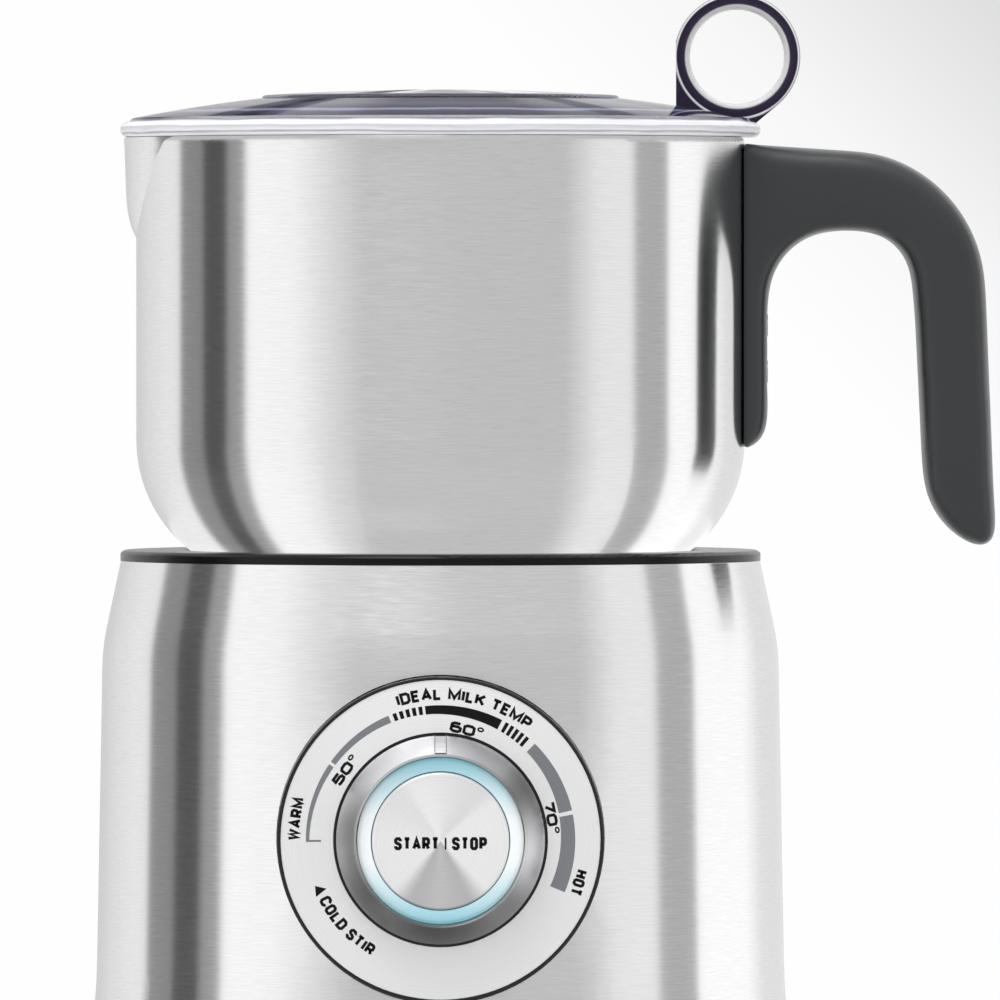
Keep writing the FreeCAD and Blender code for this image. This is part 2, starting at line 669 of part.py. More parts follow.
part("drive_magnets", group("drive_magnets", [
    cylinder(f"drive_magnet_{n}", magnet_r, magnet_height, (x, y, rotor_top - magnet_height))
    for n, (x, y, angle) in enumerate(magnet_spots)]))

# ---- cooling fan --------------------------------------------------------------------

fan_z = pan_top_z
fan_bore = size("fan_bore_radius", 28.0)
fan_floor = size("fan_floor_thickness", 1.5)
fan_hub = size("fan_hub_radius", 12.0)
fan_pin = size("fan_pin_radius", 1.5)
fan_tip_gap = size("fan_tip_gap", 1.0)
fan_blades = 7
fan_blade_angle = size("fan_blade_angle", 35.0)
fan_blade_width = size("fan_blade_width", 11.0)
fan_blade_thickness = size("fan_blade_thickness", 1.0)
fan_spoke = size("fan_spoke_width", 4.0)
fan_block = bar_at("fan_block", fan_side, fan_side, fan_height, (Size(0), Size(0), fan_z))
fan_duct = cylinder("fan_duct", fan_bore, fan_height + overcut * 2, (0, 0, fan_z - overcut))
fan_drillings = [cylinder(f"fan_drilling_{n}", screw_shank + gap, fan_height + overcut * 2,
                          (x, y, fan_z - overcut)) for n, (x, y) in enumerate(fan_corners)]
fan_shroud = cut("fan_shroud", fan_block, fan_duct, group("fan_drillings", fan_drillings))
fan_spokes = [bar_at("fan_spoke_x", fan_bore * 2 + overcut, fan_spoke, fan_floor, (Size(0), Size(0), fan_z)),
              bar_at("fan_spoke_y", fan_spoke, fan_bore * 2 + overcut, fan_floor, (Size(0), Size(0), fan_z))]
fan_seat = cylinder("fan_seat", fan_hub, fan_floor, (0, 0, fan_z))
fan_spindle = cylinder("fan_spindle", fan_pin, fan_height - fan_floor - overcut, (0, 0, fan_z))
part("fan_frame", fuse("fan_frame", fan_shroud, *fan_spokes, fan_seat, fan_spindle))
fan_hub_z = fan_z + fan_floor + gap
fan_hub_top = fan_z + fan_height - fan_floor
hub_blank = turned("fan_hub_blank", [
    (fan_pin + running, fan_hub_z), (fan_hub, fan_hub_z), (fan_hub, fan_hub_top - overcut),
    (fan_hub - overcut, fan_hub_top, overcut), (fan_pin + running, fan_hub_top)])
blade_length = fan_bore - fan_tip_gap - fan_hub + overcut
fan_middle = (fan_hub_z + fan_hub_top) / 2
blades = []
for number in range(fan_blades):
    angle = 360.0 * number / fan_blades
    tilt = FreeCAD.Rotation(Vector(0, 0, 1), angle).multiply(
        FreeCAD.Rotation(Vector(1, 0, 0), float(fan_blade_angle)))
    reach = tilt.multVec(Vector(float(fan_hub - overcut), -float(fan_blade_width) / 2,
                                -float(fan_blade_thickness) / 2))
    blade = box(f"fan_blade_{number}", blade_length, fan_blade_width, fan_blade_thickness,
                (Size(reach.x), Size(reach.y), fan_middle + reach.z), tilt)
    blades.append(blade)
part("fan_rotor", fuse("fan_rotor", hub_blank, *blades))
fan_screw_length = size("fan_screw_length", 18.5)
part("fan_screws", screws("fan_screws", fan_corners, fan_z + fan_height + screw_head_height,
                          screw_head, screw_head_height, screw_shank, fan_screw_length, upward=False))

# ---- power board ---------------------------------------------------------------------

board_thickness = size("board_thickness", 1.6)
board_hole = size("board_hole_radius", 24.0)
board_top = board_z + board_thickness
board_disc = turned("board_disc", ring_section(board_hole, board_r, board_z, board_top))
board_holes = [cylinder(f"board_hole_{n}", screw_shank + gap, board_thickness + overcut * 2,
                        (x, y, board_z - overcut)) for n, (x, y, angle) in enumerate(standoff_spots)]
part("main_board", cut("main_board", board_disc, group("board_holes", board_holes)))
board_screw_length = size("board_screw_length", 9.0)
part("board_screws", screws("board_screws", [(x, y) for x, y, angle in standoff_spots],
                            board_top + screw_head_height, screw_head, screw_head_height,
                            screw_shank, board_screw_length, upward=False))

sink_length = size("heat_sink_length", 34.0)
sink_depth = size("heat_sink_depth", 10.0)
sink_height = size("heat_sink_height", 26.0)
sink_back = size("heat_sink_back", 2.5)
fin_thickness = size("fin_thickness", 1.5)
fin_count = 7
sink_y = size("heat_sink_offset", 30.0)
sink_base = bar_at("sink_base", sink_length, sink_back, sink_height, (Size(0), sink_y, board_top))
fins = []
for number in range(fin_count):
    x = (fin_thickness - sink_length) / 2 + (sink_length - fin_thickness) / (fin_count - 1) * number
    fins.append(bar_at(f"fin_{number}", fin_thickness, sink_depth - sink_back / 2, sink_height,
                       (x, sink_y + (sink_depth - sink_back / 2) / 2, board_top)))
part("heat_sink", fuse("heat_sink", sink_base, *fins))
transistor_width = size("transistor_width", 15.0)
transistor_height = size("transistor_height", 20.0)
transistor_depth = size("transistor_depth", 4.5)
transistor_lift = size("transistor_lift", 4.0)
transistor_y = sink_y - sink_back / 2 - transistor_depth / 2
transistor_body = bar_at("transistor_body", transistor_width, transistor_depth, transistor_height,
                         (Size(0), transistor_y, board_top + transistor_lift))
pin_side = size("pin_side", 1.0)
pin_pitch = size("transistor_pin_pitch", 5.0)
transistor_pins = [bar_at(f"transistor_pin_{n}", pin_side, pin_side, transistor_lift + overcut,
                          (pin_pitch * n, transistor_y, board_top)) for n in (-1, 0, 1)]
part("power_transistor", fuse("power_transistor", transistor_body, *transistor_pins))

component_circle = (board_hole + board_r) / 2
film_length = size("film_capacitor_length", 24.0)
film_depth = size("film_capacitor_depth", 12.0)
film_height = size("film_capacitor_height", 20.0)
component_round = size("component_round", 1.0)
film_block = bar_at("film_block", film_depth, film_length, film_height,
                    (-component_circle, Size(0), board_top))
film_shift = size("film_capacitor_shift", 19.0)
film_block.Placement = FreeCAD.Placement(film_block.Placement.Base, UP)
tie(film_block, "Placement.Base.y", film_shift - film_length / 2)
film_rounded = doc.addObject("Part::Fillet", "film_rounded")
doc.recompute()
film_rounded.Base = film_block
film_rounded.Edges = [(n + 1, float(component_round), float(component_round))
                      for n, edge in enumerate(film_block.Shape.Edges) if edge.BoundBox.ZLength < 1e-6]
part("film_capacitor", film_rounded)
bulk_r = size("bulk_capacitor_radius", 8.0)
bulk_height = size("bulk_capacitor_height", 28.0)
bulk_spot = (component_circle * cosine(30.0), component_circle * sine(30.0), board_top)
part("bulk_capacitor", turned("bulk_capacitor", [
    (0, 0), (bulk_r - component_round, 0), (bulk_r, component_round, component_round),
    (bulk_r, bulk_height - component_round), (bulk_r - component_round, bulk_height, component_round),
    (0, bulk_height)], bulk_spot))
choke_r = size("choke_radius", 7.0)
choke_tube = size("choke_tube_radius", 4.0)
choke_spot = (component_circle * cosine(-32.0), component_circle * sine(-32.0), board_top)
choke = doc.addObject("Part::Torus", "filter_choke")
tie(choke, "Radius1", choke_r)
tie(choke, "Radius2", choke_tube)
part("filter_choke", place(choke, (choke_spot[0], choke_spot[1], board_top + choke_tube)))

# ---- dial assembly: its own Z runs outwards to the front ---------------------------------


def on_dial(across, up, out):
    """A point of the dial assembly: across to the right, up, and out from the shell."""
    return (across, -panel_y - out, dial_z + up)


dial_spot = on_dial(Size(0), Size(0), Size(0))
housing_wall = size("dial_housing_wall", 1.8)
housing_depth = size("dial_housing_depth", 16.0)
housing_floor = size("dial_housing_floor", 1.0)
housing_hole = size("dial_housing_hole_radius", 6.0)
face_out = size("dial_face_out", 1.6)
lip_out = size("dial_lip_out", 2.5)
lip_width = size("dial_lip_width", 0.6)
lip_round = size("dial_lip_round", 0.5)
sleeve_r = size("knob_sleeve_radius", 17.0)
sleeve_wall = size("knob_sleeve_wall", 0.9)
bearing_wall = size("knob_bearing_wall", 1.9)
bearing_depth = size("knob_bearing_depth", 4.5)
housing_turned = turned("housing_turned", [
    (sleeve_r + running, face_out), (housing_r - lip_width, face_out),
    (housing_r - lip_width, lip_out), (housing_r - lip_round / 2, lip_out),
    (housing_r, lip_out - lip_round / 2, -lip_round / 2), (housing_r, -housing_depth),
    (housing_hole, -housing_depth),
    (housing_hole, housing_floor - housing_depth), (housing_r - housing_wall, housing_floor - housing_depth),
    (housing_r - housing_wall, 0), (sleeve_r + bearing_wall, 0), (sleeve_r + bearing_wall, -bearing_depth),
    (sleeve_r + running, -bearing_depth)], dial_spot, FRONTWARD)
clip_width = size("dial_clip_width", 8.0)
clip_reach = size("dial_clip_reach", 1.5)
clip_out = size("dial_clip_depth", 3.6)
clip_thickness = size("dial_clip_thickness", 1.8)
clips = [bar_at(f"dial_clip_{n}", clip_width, clip_reach * 2, clip_thickness,
                on_dial(Size(0), housing_r * side, -clip_out), FRONTWARD)
         for n, side in enumerate((-1, 1))]
part("dial_housing", fuse("dial_housing", housing_turned, *clips))

knob_r = size("knob_radius", 19.9)
plate_gap = size("dial_plate_gap", 0.6)
plate_rim_gap = size("dial_plate_rim_gap", 0.1)
plate_thickness = size("dial_plate_thickness", 0.7)
part("dial_plate", turned("dial_plate", ring_section(
    knob_r + plate_gap, housing_r - lip_width - plate_rim_gap, face_out, face_out + plate_thickness),
    dial_spot, FRONTWARD))

knob_back = size("knob_back_out", 2.8)
knob_front = size("knob_front_out", 10.5)
knob_rim = size("knob_rim_thickness", 1.4)
knob_bevel_r = size("knob_bevel_round", 22.0)
knob_lip_r = sleeve_r - size("knob_lip_width", 0.4)
knob_lip_round = size("knob_lip_round", 0.5)
sleeve_out = size("knob_sleeve_out", 9.0)
knob_turned = turned("knob_turned", [
    (sleeve_r, knob_back), (knob_r, knob_back), (knob_r, knob_back + knob_rim),
    (knob_lip_r, knob_front, knob_bevel_r),
    (sleeve_r - sleeve_wall, knob_front - knob_lip_round, knob_lip_round),
    (sleeve_r - sleeve_wall, sleeve_out), (sleeve_r, sleeve_out)], dial_spot, FRONTWARD)
notch_width = size("notch_width", 2.3)
notch_depth = size("notch_depth", 1.2)
notch = bar_at("notch", notch_width, knob_r - knob_lip_r, notch_depth + overcut,
               on_dial(Size(0), (knob_r + knob_lip_r) / 2 + lip_width, knob_front - notch_depth), FRONTWARD)
part("knob_ring", cut("knob_ring", knob_turned, notch))

gear_module = size("gear_module", 0.7)
gear_teeth = 51
pinion_teeth = 15
gear_width = size("gear_width", 4.0)
gear_back = size("gear_back_depth", 9.0)
gear_slack = size("gear_slack_share", 0.08)
gear_tip_share = size("gear_tip_share", 0.85)
pinion_angle = size("pinion_direction", 225.0)
centre_distance = gear_module * (gear_teeth + pinion_teeth) / 2


gear_root_share = size("gear_root_share", 1.2)
pressure_angle = size("gear_pressure_angle", 20.0)


def gear_blank(teeth):
    """A spur gear with involute teeth, one of them along the pinion's direction."""
    pressure = math.radians(float(pressure_angle))
    pitch_r = float(gear_module) * teeth / 2
    base_r = pitch_r * math.cos(pressure)
    tip_r = pitch_r + float(gear_module) * float(gear_tip_share)
    root_r = pitch_r - float(gear_module) * float(gear_root_share)
    half = math.pi / 2 / teeth * (1 - float(gear_slack)) + math.tan(pressure) - pressure
    steps = 4
    start_r = max(base_r, root_r)
    flank = [(root_r, half)]
    for step in range(steps + 1):
        radius = start_r + (tip_r - start_r) * step / steps
        lean = math.acos(min(1.0, base_r / radius))
        flank.append((radius, half - (math.tan(lean) - lean)))
    points = []
    for tooth in range(teeth):
        middle = math.radians(float(pinion_angle)) + 2 * math.pi * tooth / teeth
        for radius, angle in [(r, -a) for r, a in flank] + flank[::-1]:
            points.append(Vector(radius * math.cos(middle + angle), radius * math.sin(middle + angle), 0))
    outline_wire = Part.makePolygon(points + points[:1])
    return Part.Face(outline_wire).extrude(Vector(0, 0, float(gear_width)))


sleeve_shape = Part.makeCylinder(sleeve_r, sleeve_out + gear_back, Vector(0, 0, -float(gear_back)))
sleeve_shape = sleeve_shape.fuse(gear_blank(gear_teeth).translated(Vector(0, 0, -float(gear_back))))
sleeve_hole = Part.makeCylinder(sleeve_r - sleeve_wall, sleeve_out + gear_back + overcut * 2,
                                Vector(0, 0, -float(gear_back + overcut)))
knob_sleeve = doc.addObject("Part::Feature", "knob_sleeve")
knob_sleeve.Shape = sleeve_shape.cut(sleeve_hole).removeSplitter()
part("knob_sleeve", place(knob_sleeve, dial_spot, FRONTWARD))

pinion_shaft = size("pinion_shaft_radius", 1.5)
control_top = size("control_board_top", 13.4)
control_thickness = size("control_board_thickness", 1.6)
encoder_side = size("encoder_side", 8.8)
encoder_height = size("encoder_height", 4.0)
encoder_across = centre_distance * cosine(pinion_angle)
encoder_up = centre_distance * sine(pinion_angle)
pinion_shape = gear_blank(pinion_teeth)
pinion_shape = pinion_shape.fuse(Part.makeCylinder(
    pinion_shaft, gear_width + encoder_height - overcut, Vector(0, 0, float(overcut - encoder_height))))
encoder_pinion = doc.addObject("Part::Feature", "encoder_pinion")
encoder_pinion.Shape = pinion_shape.removeSplitter()
part("encoder_pinion", place(encoder_pinion, on_dial(encoder_across, encoder_up, -gear_back), FRONTWARD))
encoder_block = bar_at("encoder_block", encoder_side, encoder_side, encoder_height,
                       on_dial(encoder_across, encoder_up, -control_top), FRONTWARD)
encoder_bore = cylinder("encoder_bore", pinion_shaft + running, encoder_height,
                        on_dial(encoder_across, encoder_up, overcut / 2 - control_top), FRONTWARD)
part("encoder_body", cut("encoder_body", encoder_block, encoder_bore))

control_r = housing_r - housing_wall - size("control_board_gap", 0.4)
part("control_board", cylinder("control_board", control_r, control_thickness,
                               on_dial(Size(0), Size(0), -control_top - control_thickness), FRONTWARD))

light_outer = size("light_ring_outer_radius", 15.9)
light_inner = size("light_ring_inner_radius", 13.3)
light_front = size("light_ring_front", 8.6)
light_round = size("light_ring_round", 0.8)
light_leg = size("light_ring_leg", 1.4)
light_middle = (light_outer + light_inner) / 2
led_side = size("led_side", 2.0)
led_height = size("led_height", 1.0)
leg_r = size("light_ring_leg_radius", 1.0)
light_back = control_top - light_leg
light_turned = turned("light_turned", [
    (light_inner, -light_back), (light_outer, -light_back), (light_outer, light_front - light_round),
    (light_outer - light_round, light_front, light_round), (light_inner, light_front)],
    dial_spot, FRONTWARD)
light_legs = [cylinder(f"light_leg_{n}", leg_r, light_leg + overcut,
                       on_dial(x, y, -control_top), FRONTWARD)
              for n, (x, y, angle) in enumerate(spots(light_middle, 3, 30.0))]
part("light_ring", fuse("light_ring", light_turned, *light_legs))
part("leds", group("leds", [
    bar_at(f"led_{n}", led_side, led_side, led_height, on_dial(x, y, -control_top), FRONTWARD)
    for n, (x, y, angle) in enumerate(spots(light_middle, 6, 0.0))]))

stem_r = size("button_stem_radius", 2.0)
guide_back = size("button_guide_depth", 3.0)
guide_thickness = size("button_guide_thickness", 2.0)
part("button_guide", turned("button_guide", ring_section(
    stem_r + running, light_inner, -guide_back, guide_thickness - guide_back), dial_spot, FRONTWARD))
button_r = light_inner - size("button_gap", 0.2)
button_back = size("button_back_out", 5.0)
button_front = size("button_front_out", 8.9)
button_round = size("button_edge_round", 0.5)
button_travel = size("button_travel", 1.2)
switch_height = size("switch_height", 3.5)
switch_side = size("switch_side", 6.0)
plunger_r = size("switch_plunger_radius", 1.7)
plunger_height = size("switch_plunger_height", 0.8)
stem_end = switch_height + button_travel + running * 2 - control_top
part("start_button", turned("start_button", [
    (0, stem_end), (stem_r, stem_end), (stem_r, button_back), (button_r, button_back),
    (button_r, button_front - button_round), (button_r - button_round, button_front, button_round),
    (0, button_front)], dial_spot, FRONTWARD))
switch_block = bar_at("switch_block", switch_side, switch_side, switch_height - plunger_height,
                      on_dial(Size(0), Size(0), -control_top), FRONTWARD)
switch_plunger = cylinder("switch_plunger", plunger_r, switch_height,
                          on_dial(Size(0), Size(0), -control_top), FRONTWARD)
part("tact_switch", fuse("tact_switch", switch_block, switch_plunger))

# ---- jug: deep-drawn steel with a pressed spout ---------------------------------------------

rim_curl = size("rim_curl_height", 1.2)
rim_inset = size("rim_curl_inset", 0.4)
rim_round = size("rim_curl_round", 2.0)


def jug_line(inset, top_z):
    """The jug's profile moved in by inset, from the axis up to the mouth."""
    return [(0, jug_bottom + inset), (corner_r, jug_bottom + inset),
            (jug_radius - inset, corner_z, jug_corner - inset), (jug_radius - inset, jug_rim - rim_curl),
            (jug_radius - inset - rim_inset, jug_rim, rim_round), (0, jug_rim)]


spout_reach = size("spout_reach", 2.4)
spout_depth = size("spout_depth", 20.5)
spout_levels = [  # share of the depth from the tip, share of the reach, radius over the rim's radius
    (0.0, -0.25, 0.26), (0.2, 0.52, 0.48), (0.5, 0.84, 0.73), (1.0, 1.0, 1.0)]
spout_round = size("spout_rim_radius", 45.0)


def spout_loft(name, inset):
    rings = []
    for index, (rise, reach, share) in enumerate(spout_levels):
        ring = doc.addObject("Part::Circle", f"{name}_ring_{index}")
        radius = spout_round * share - inset
        tie(ring, "Radius", radius)
        out = jug_radius + spout_reach * reach - inset
        rings.append(place(ring, (radius - out, Size(0), jug_rim - spout_depth * (1 - rise))))
    loft = doc.addObject("Part::Loft", name)
    loft.Sections = rings
    loft.Solid = True
    return loft


jug_outside = turned("jug_outside", jug_line(Size(0), jug_rim))
jug_inside = turned("jug_inside", jug_line(jug_wall, jug_rim))
jug_spout = spout_loft("spout_outside", Size(0))
jug_hollow = spout_loft("spout_inside", jug_wall)
part("jug_body", cut("jug_body", fuse("jug_solid", jug_outside, jug_spout), jug_inside, jug_hollow))

jug_plate_inset = size("jug_plate_inset", 1.0)
part("jug_base_plate", turned("jug_base_plate", ring_section(
    0, corner_r - jug_plate_inset, deck_floor, jug_bottom)))

jug_floor = jug_bottom + jug_wall
pin_r = size("drive_post_radius", 2.3)
pin_flange_r = size("drive_post_flange_radius", 7.0)
pin_flange = size("drive_post_flange_height", 0.8)
pin_height = size("drive_post_height", 9.6)
pin_round = size("drive_post_round", 1.2)
part("drive_post", turned("drive_post", [
    (0, jug_floor), (pin_flange_r, jug_floor), (pin_flange_r, jug_floor + pin_flange),
    (pin_r, jug_floor + pin_flange), (pin_r, jug_floor + pin_height - pin_round),
    (pin_r - pin_round, jug_floor + pin_height, pin_round), (0, jug_floor + pin_height)]))

# ---- handle: soft-touch grip hooked over two screws on a welded bracket ------------------------

handle_width = size("handle_width", 17.5)
handle_round = size("handle_edge_round", 2.0)
handle_gap = size("handle_gap", 0.1)
handle_root = size("handle_root_depth", 12.0)


def off_jug(name, across, below):
    """A handle corner: its distance out from the jug's wall and down from its rim."""
    return (jug_radius + size(f"handle_{name}_out", across), jug_rim - size(f"handle_{name}_down", below))


back_round = size("handle_back_round", 28.0)
tip_round = size("handle_tip_round", 2.5)
nose_round = size("handle_nose_round", 16.4)
arch_outer_round = size("handle_arch_outer_round", 10.4)
arch_inner_round = size("handle_arch_inner_round", 13.6)
leg_round = size("handle_leg_round", 5.1)
root_x = jug_radius - handle_root
leg_foot = off_jug("leg_foot", -0.5, 60.5)
handle_blank = slab("handle_blank", [
    (root_x, jug_rim - size("handle_top_down", 0.4)),
    off_jug("shoulder", 24.7, 2.8),
    off_jug("knuckle", 46.9, 27.9) + (-back_round,),
    off_jug("back_low", 48.6, 70.7),
    off_jug("tip_back", 49.2, 77.6),
    off_jug("tip_front", 45.2, 79.7) + (-tip_round,),
    off_jug("nose", 34.7, 65.3) + (-nose_round,),
    off_jug("palm", 33.3, 35.9),
    off_jug("palm_top", 32.7, 28.4),
    off_jug("arch_out", 22.3, 18.0) + (arch_outer_round,),
    off_jug("arch_top", 18.1, 18.0),
    off_jug("arch_in", 4.5, 31.6) + (arch_inner_round,),
    off_jug("leg_low", 4.5, 55.4),
    leg_foot + (-leg_round,),
    (root_x, leg_foot[1])], handle_width, handle_round, True)
handle_clear = cylinder("handle_clear", jug_radius + handle_gap, jug_height * 2, (0, 0, jug_bottom))
plate_reach = size("bracket_plate_reach", 2.0)
plate_width = size("bracket_plate_width", 9.0)
plate_height = size("bracket_plate_height", 38.0)
plate_top = jug_rim - size("bracket_plate_drop", 12.5)
plate_low = plate_top - plate_height
plate_back = jug_radius - overcut * 2
bracket_plate = box("bracket_plate", plate_reach + overcut * 2, plate_width, plate_height,
                    (plate_back, -plate_width / 2, plate_low))
jug_skin = cylinder("jug_skin", jug_radius, jug_height * 2, (0, 0, jug_bottom))
handle_screw_zs = [plate_low + size("handle_screw_low", 5.0), plate_low + size("handle_screw_high", 14.0)]
handle_screw_r = size("handle_screw_radius", 1.2)
handle_screw_head = size("handle_screw_head_radius", 2.2)
handle_head_height = size("handle_screw_head_height", 1.2)
handle_leg = size("handle_leg_thickness", 4.5)
bracket_taps = [cylinder(f"bracket_tap_{n}", handle_screw_r + pilot_gap, handle_leg,
                         (jug_radius + gap, 0, z), SIDEWAYS) for n, z in enumerate(handle_screw_zs)]
part("handle_bracket", cut("handle_bracket", bracket_plate, jug_skin, group("bracket_taps", bracket_taps)))
handle_pocket = box("handle_pocket", plate_reach + overcut * 2 + handle_gap, plate_width + handle_gap * 2,
                    plate_height + handle_gap * 2,
                    (plate_back, -plate_width / 2 - handle_gap, plate_low - handle_gap))
leg_face = jug_radius + handle_leg
handle_bores = [cylinder(f"handle_bore_{n}", handle_screw_r + gap, handle_leg,
                         (jug_radius, 0, z), SIDEWAYS) for n, z in enumerate(handle_screw_zs)]
handle_sinks = [cylinder(f"handle_sink_{n}", handle_screw_head + gap, handle_head_height + overcut,
                         (leg_face - handle_head_height, 0, z), SIDEWAYS)
                for n, z in enumerate(handle_screw_zs)]
part("handle", cut("handle", handle_blank, handle_clear, handle_pocket,
                   group("handle_bores", handle_bores), group("handle_sinks", handle_sinks)))
handle_screw_items = []
for number, z in enumerate(handle_screw_zs):
    shank = handle_leg - handle_head_height - gap * 2
    handle_screw_items.append(turned(f"handle_screw_{number}", [
        (0, 0), (handle_screw_r, 0), (handle_screw_r, shank), (handle_screw_head, shank),
        (handle_screw_head, shank + handle_head_height), (0, shank + handle_head_height)],
        (leg_face - handle_head_height - shank, Size(0), z), SIDEWAYS))
part("handle_screws", group("handle_screws", handle_screw_items))

# ---- lid: clear moulding with a seal, a finger ring and an opening for the cap ----------------

lid_gap = size("lid_rim_gap", 0.1)
lid_under = jug_rim + lid_gap
lid_flange = size("lid_flange_thickness", 3.0)
lid_r = jug_radius + size("lid_overhang", 3.1)
lid_round = size("lid_edge_round", 1.5)
lid_shoulder = lid_r - size("lid_shoulder_inset", 2.4)
lid_rise = size("lid_dome_rise", 3.9)
lid_wall = size("lid_wall", 2.0)
lid_corner = size("lid_inner_corner_drop", 1.2)
lid_dome_round = size("lid_dome_round", 320.0)
cap_r = size("cap_radius", 34.8)
cap_gap = size("cap_gap", 0.3)
cap_opening = size("cap_opening_radius", 31.0)
lid_top_z = lid_under + lid_flange + size("lid_shoulder_rise", 0.7)
ledge_z = lid_top_z + lid_rise - size("cap_seat_depth", 1.2)
skirt_outer = jug_radius - size("lid_skirt_inset", 3.8)
skirt_inner = skirt_outer - lid_wall
lid_skirt_z = jug_rim - size("lid_skirt_depth", 8.3)
seal_top = jug_rim - size("seal_drop", 2.4)
seal_height = size("seal_height", 3.3)
seal_depth = size("seal_groove_depth", 0.8)
seal_reach = size("seal_lip_reach", 1.2)
seal_low = seal_top - seal_height
part("lid", turned("lid", [
    (cap_opening, ledge_z - lid_wall), (skirt_inner, lid_top_z - lid_corner),
    (skirt_inner, lid_skirt_z), (skirt_outer, lid_skirt_z), (skirt_outer, seal_low - lid_gap),
    (skirt_outer - seal_depth, seal_low - lid_gap), (skirt_outer - seal_depth, seal_top + lid_gap),
    (skirt_outer, seal_top + lid_gap), (skirt_outer, lid_under), (lid_r - lid_round, lid_under),
    (lid_r, lid_under + lid_flange / 2, lid_round), (lid_r - lid_round, lid_under + lid_flange, lid_round),
    (lid_shoulder, lid_top_z), (cap_r + cap_gap, lid_top_z + lid_rise, lid_dome_round),
    (cap_r + cap_gap, ledge_z), (cap_opening, ledge_z)]))
part("lid_seal", turned("lid_seal", [
    (skirt_outer - seal_depth, seal_low), (skirt_outer, seal_low),
    (skirt_outer + seal_reach, seal_low + seal_height / 4),
    (skirt_outer + lid_gap, seal_low + seal_height / 2),
    (skirt_outer + seal_reach, seal_top - seal_height / 4), (skirt_outer, seal_top),
    (skirt_outer - seal_depth, seal_top)]))

ring_r = size("finger_ring_radius", 12.3)
ring_hole_r = size("finger_ring_hole_radius", 10.2)
ring_thickness = size("finger_ring_thickness", 6.0)
ring_round = size("finger_ring_edge_round", 0.6)
ring_x = lid_r - size("finger_ring_inset", 4.6)
ring_z = lid_under + size("finger_ring_lift", 15.7)
flank_in = size("finger_ring_flank", 11.9)
flank_rise = root(ring_r * ring_r - flank_in * flank_in)
ring_foot = lid_under + lid_flange
heel_in = size("finger_ring_heel_in", 7.9)
heel_down = size("finger_ring_heel_down", 9.4)
heel_set = size("finger_ring_heel_set", 2.75)
flank_lift = size("finger_ring_flank_lift", 1.6)
ring_blank = slab("ring_blank", [
    (ring_x - flank_in, ring_foot + flank_lift),
    (ring_x + heel_set, ring_foot - overcut),
    (ring_x + heel_in, ring_z - heel_down),
    (ring_x + ring_r, ring_z, ring_r), (ring_x, ring_z + ring_r, ring_r),
    (ring_x - flank_in, ring_z + flank_rise, ring_r)], ring_thickness, ring_round)
ring_hole = cylinder("ring_hole", ring_hole_r, ring_thickness * 2,
                     (ring_x, ring_thickness, ring_z), FRONTWARD)
part("finger_ring", cut("finger_ring", ring_blank, ring_hole, doc.getObject("lid")))

cap_edge = size("cap_edge_thickness", 1.1)
cap_rise = size("cap_dome_rise", 1.1)
cap_edge_round = size("cap_edge_round", 0.6)
cap_skirt_r = cap_opening - size("cap_skirt_gap", 0.6)
cap_wall = size("cap_wall", 1.6)
cap_depth = size("cap_cup_depth", 11.0)
cap_low = ledge_z + lid_gap
cap_top = cap_low + cap_edge + cap_edge_round
cap_dome_r = cap_r - cap_edge_round
cap_dome_round = (cap_dome_r * cap_dome_r + cap_rise * cap_rise) / (cap_rise * 2)
cup_r = cap_skirt_r - cap_wall
cup_rise = size("cap_cup_rise", 0.8)
cup_round = (cup_r * cup_r + cup_rise * cup_rise) / (cup_rise * 2)
cup_top = cap_top + cap_rise - cap_wall
part("measuring_cap", turned("measuring_cap", [
    (0, cup_top), (cup_r, cup_top - cup_rise, -cup_round), (cup_r, cap_low - cap_depth),
    (cap_skirt_r, cap_low - cap_depth), (cap_skirt_r, cap_low),
    (cap_r, cap_low), (cap_r, cap_low + cap_edge), (cap_dome_r, cap_top, cap_edge_round),
    (0, cap_top + cap_rise, cap_dome_round)]))

# ---- frothing disc: slotted moulding with magnets in its hub -----------------------------------

disc_low = jug_floor + pin_flange + gap
disc_hub_r = size("disc_hub_radius", 12.0)
disc_r = size("disc_radius", 26.0)
disc_plate_z = disc_low + size("disc_plate_lift", 1.0)
disc_plate = size("disc_plate_thickness", 2.0)
disc_hub_height = size("disc_hub_height", 10.0)
disc_hub_top = disc_low + disc_hub_height
disc_neck_r = size("disc_neck_radius", 9.0)
disc_bore = pin_r + size("disc_bore_gap", 0.08)
hub_cap_r = size("hub_cap_radius", 8.0)
hub_cap_height = size("hub_cap_height", 3.0)
disc_turned = turned("disc_turned", [
    (disc_bore, disc_low), (disc_hub_r, disc_low), (disc_hub_r, disc_plate_z), (disc_r, disc_plate_z),
    (disc_r, disc_plate_z + disc_plate), (disc_hub_r, disc_plate_z + disc_plate),
    (disc_neck_r, disc_hub_top - overcut), (disc_neck_r - overcut, disc_hub_top), (disc_bore, disc_hub_top)])
slot_r = size("disc_hole_radius", 2.2)
slot_circle = (disc_hub_r + disc_r) / 2
disc_holes = [cylinder(f"disc_hole_{n}", slot_r, disc_plate + overcut * 2, (x, y, disc_plate_z - overcut))
              for n, (x, y, angle) in enumerate(spots(slot_circle, 12, 15.0))]
disc_magnet_r = size("disc_magnet_radius", 2.2)
disc_magnet_height = size("disc_magnet_height", 3.0)
disc_magnet_spots = spots(size("disc_magnet_circle", 5.6), 4, 0.0)
disc_pockets = [cylinder(f"disc_pocket_{n}", disc_magnet_r, disc_magnet_height + overcut,
                         (x, y, disc_low - overcut)) for n, (x, y, angle) in enumerate(disc_magnet_spots)]
part("frothing_disc", cut("frothing_disc", disc_turned, group("disc_holes", disc_holes),
                          group("disc_pockets", disc_pockets)))
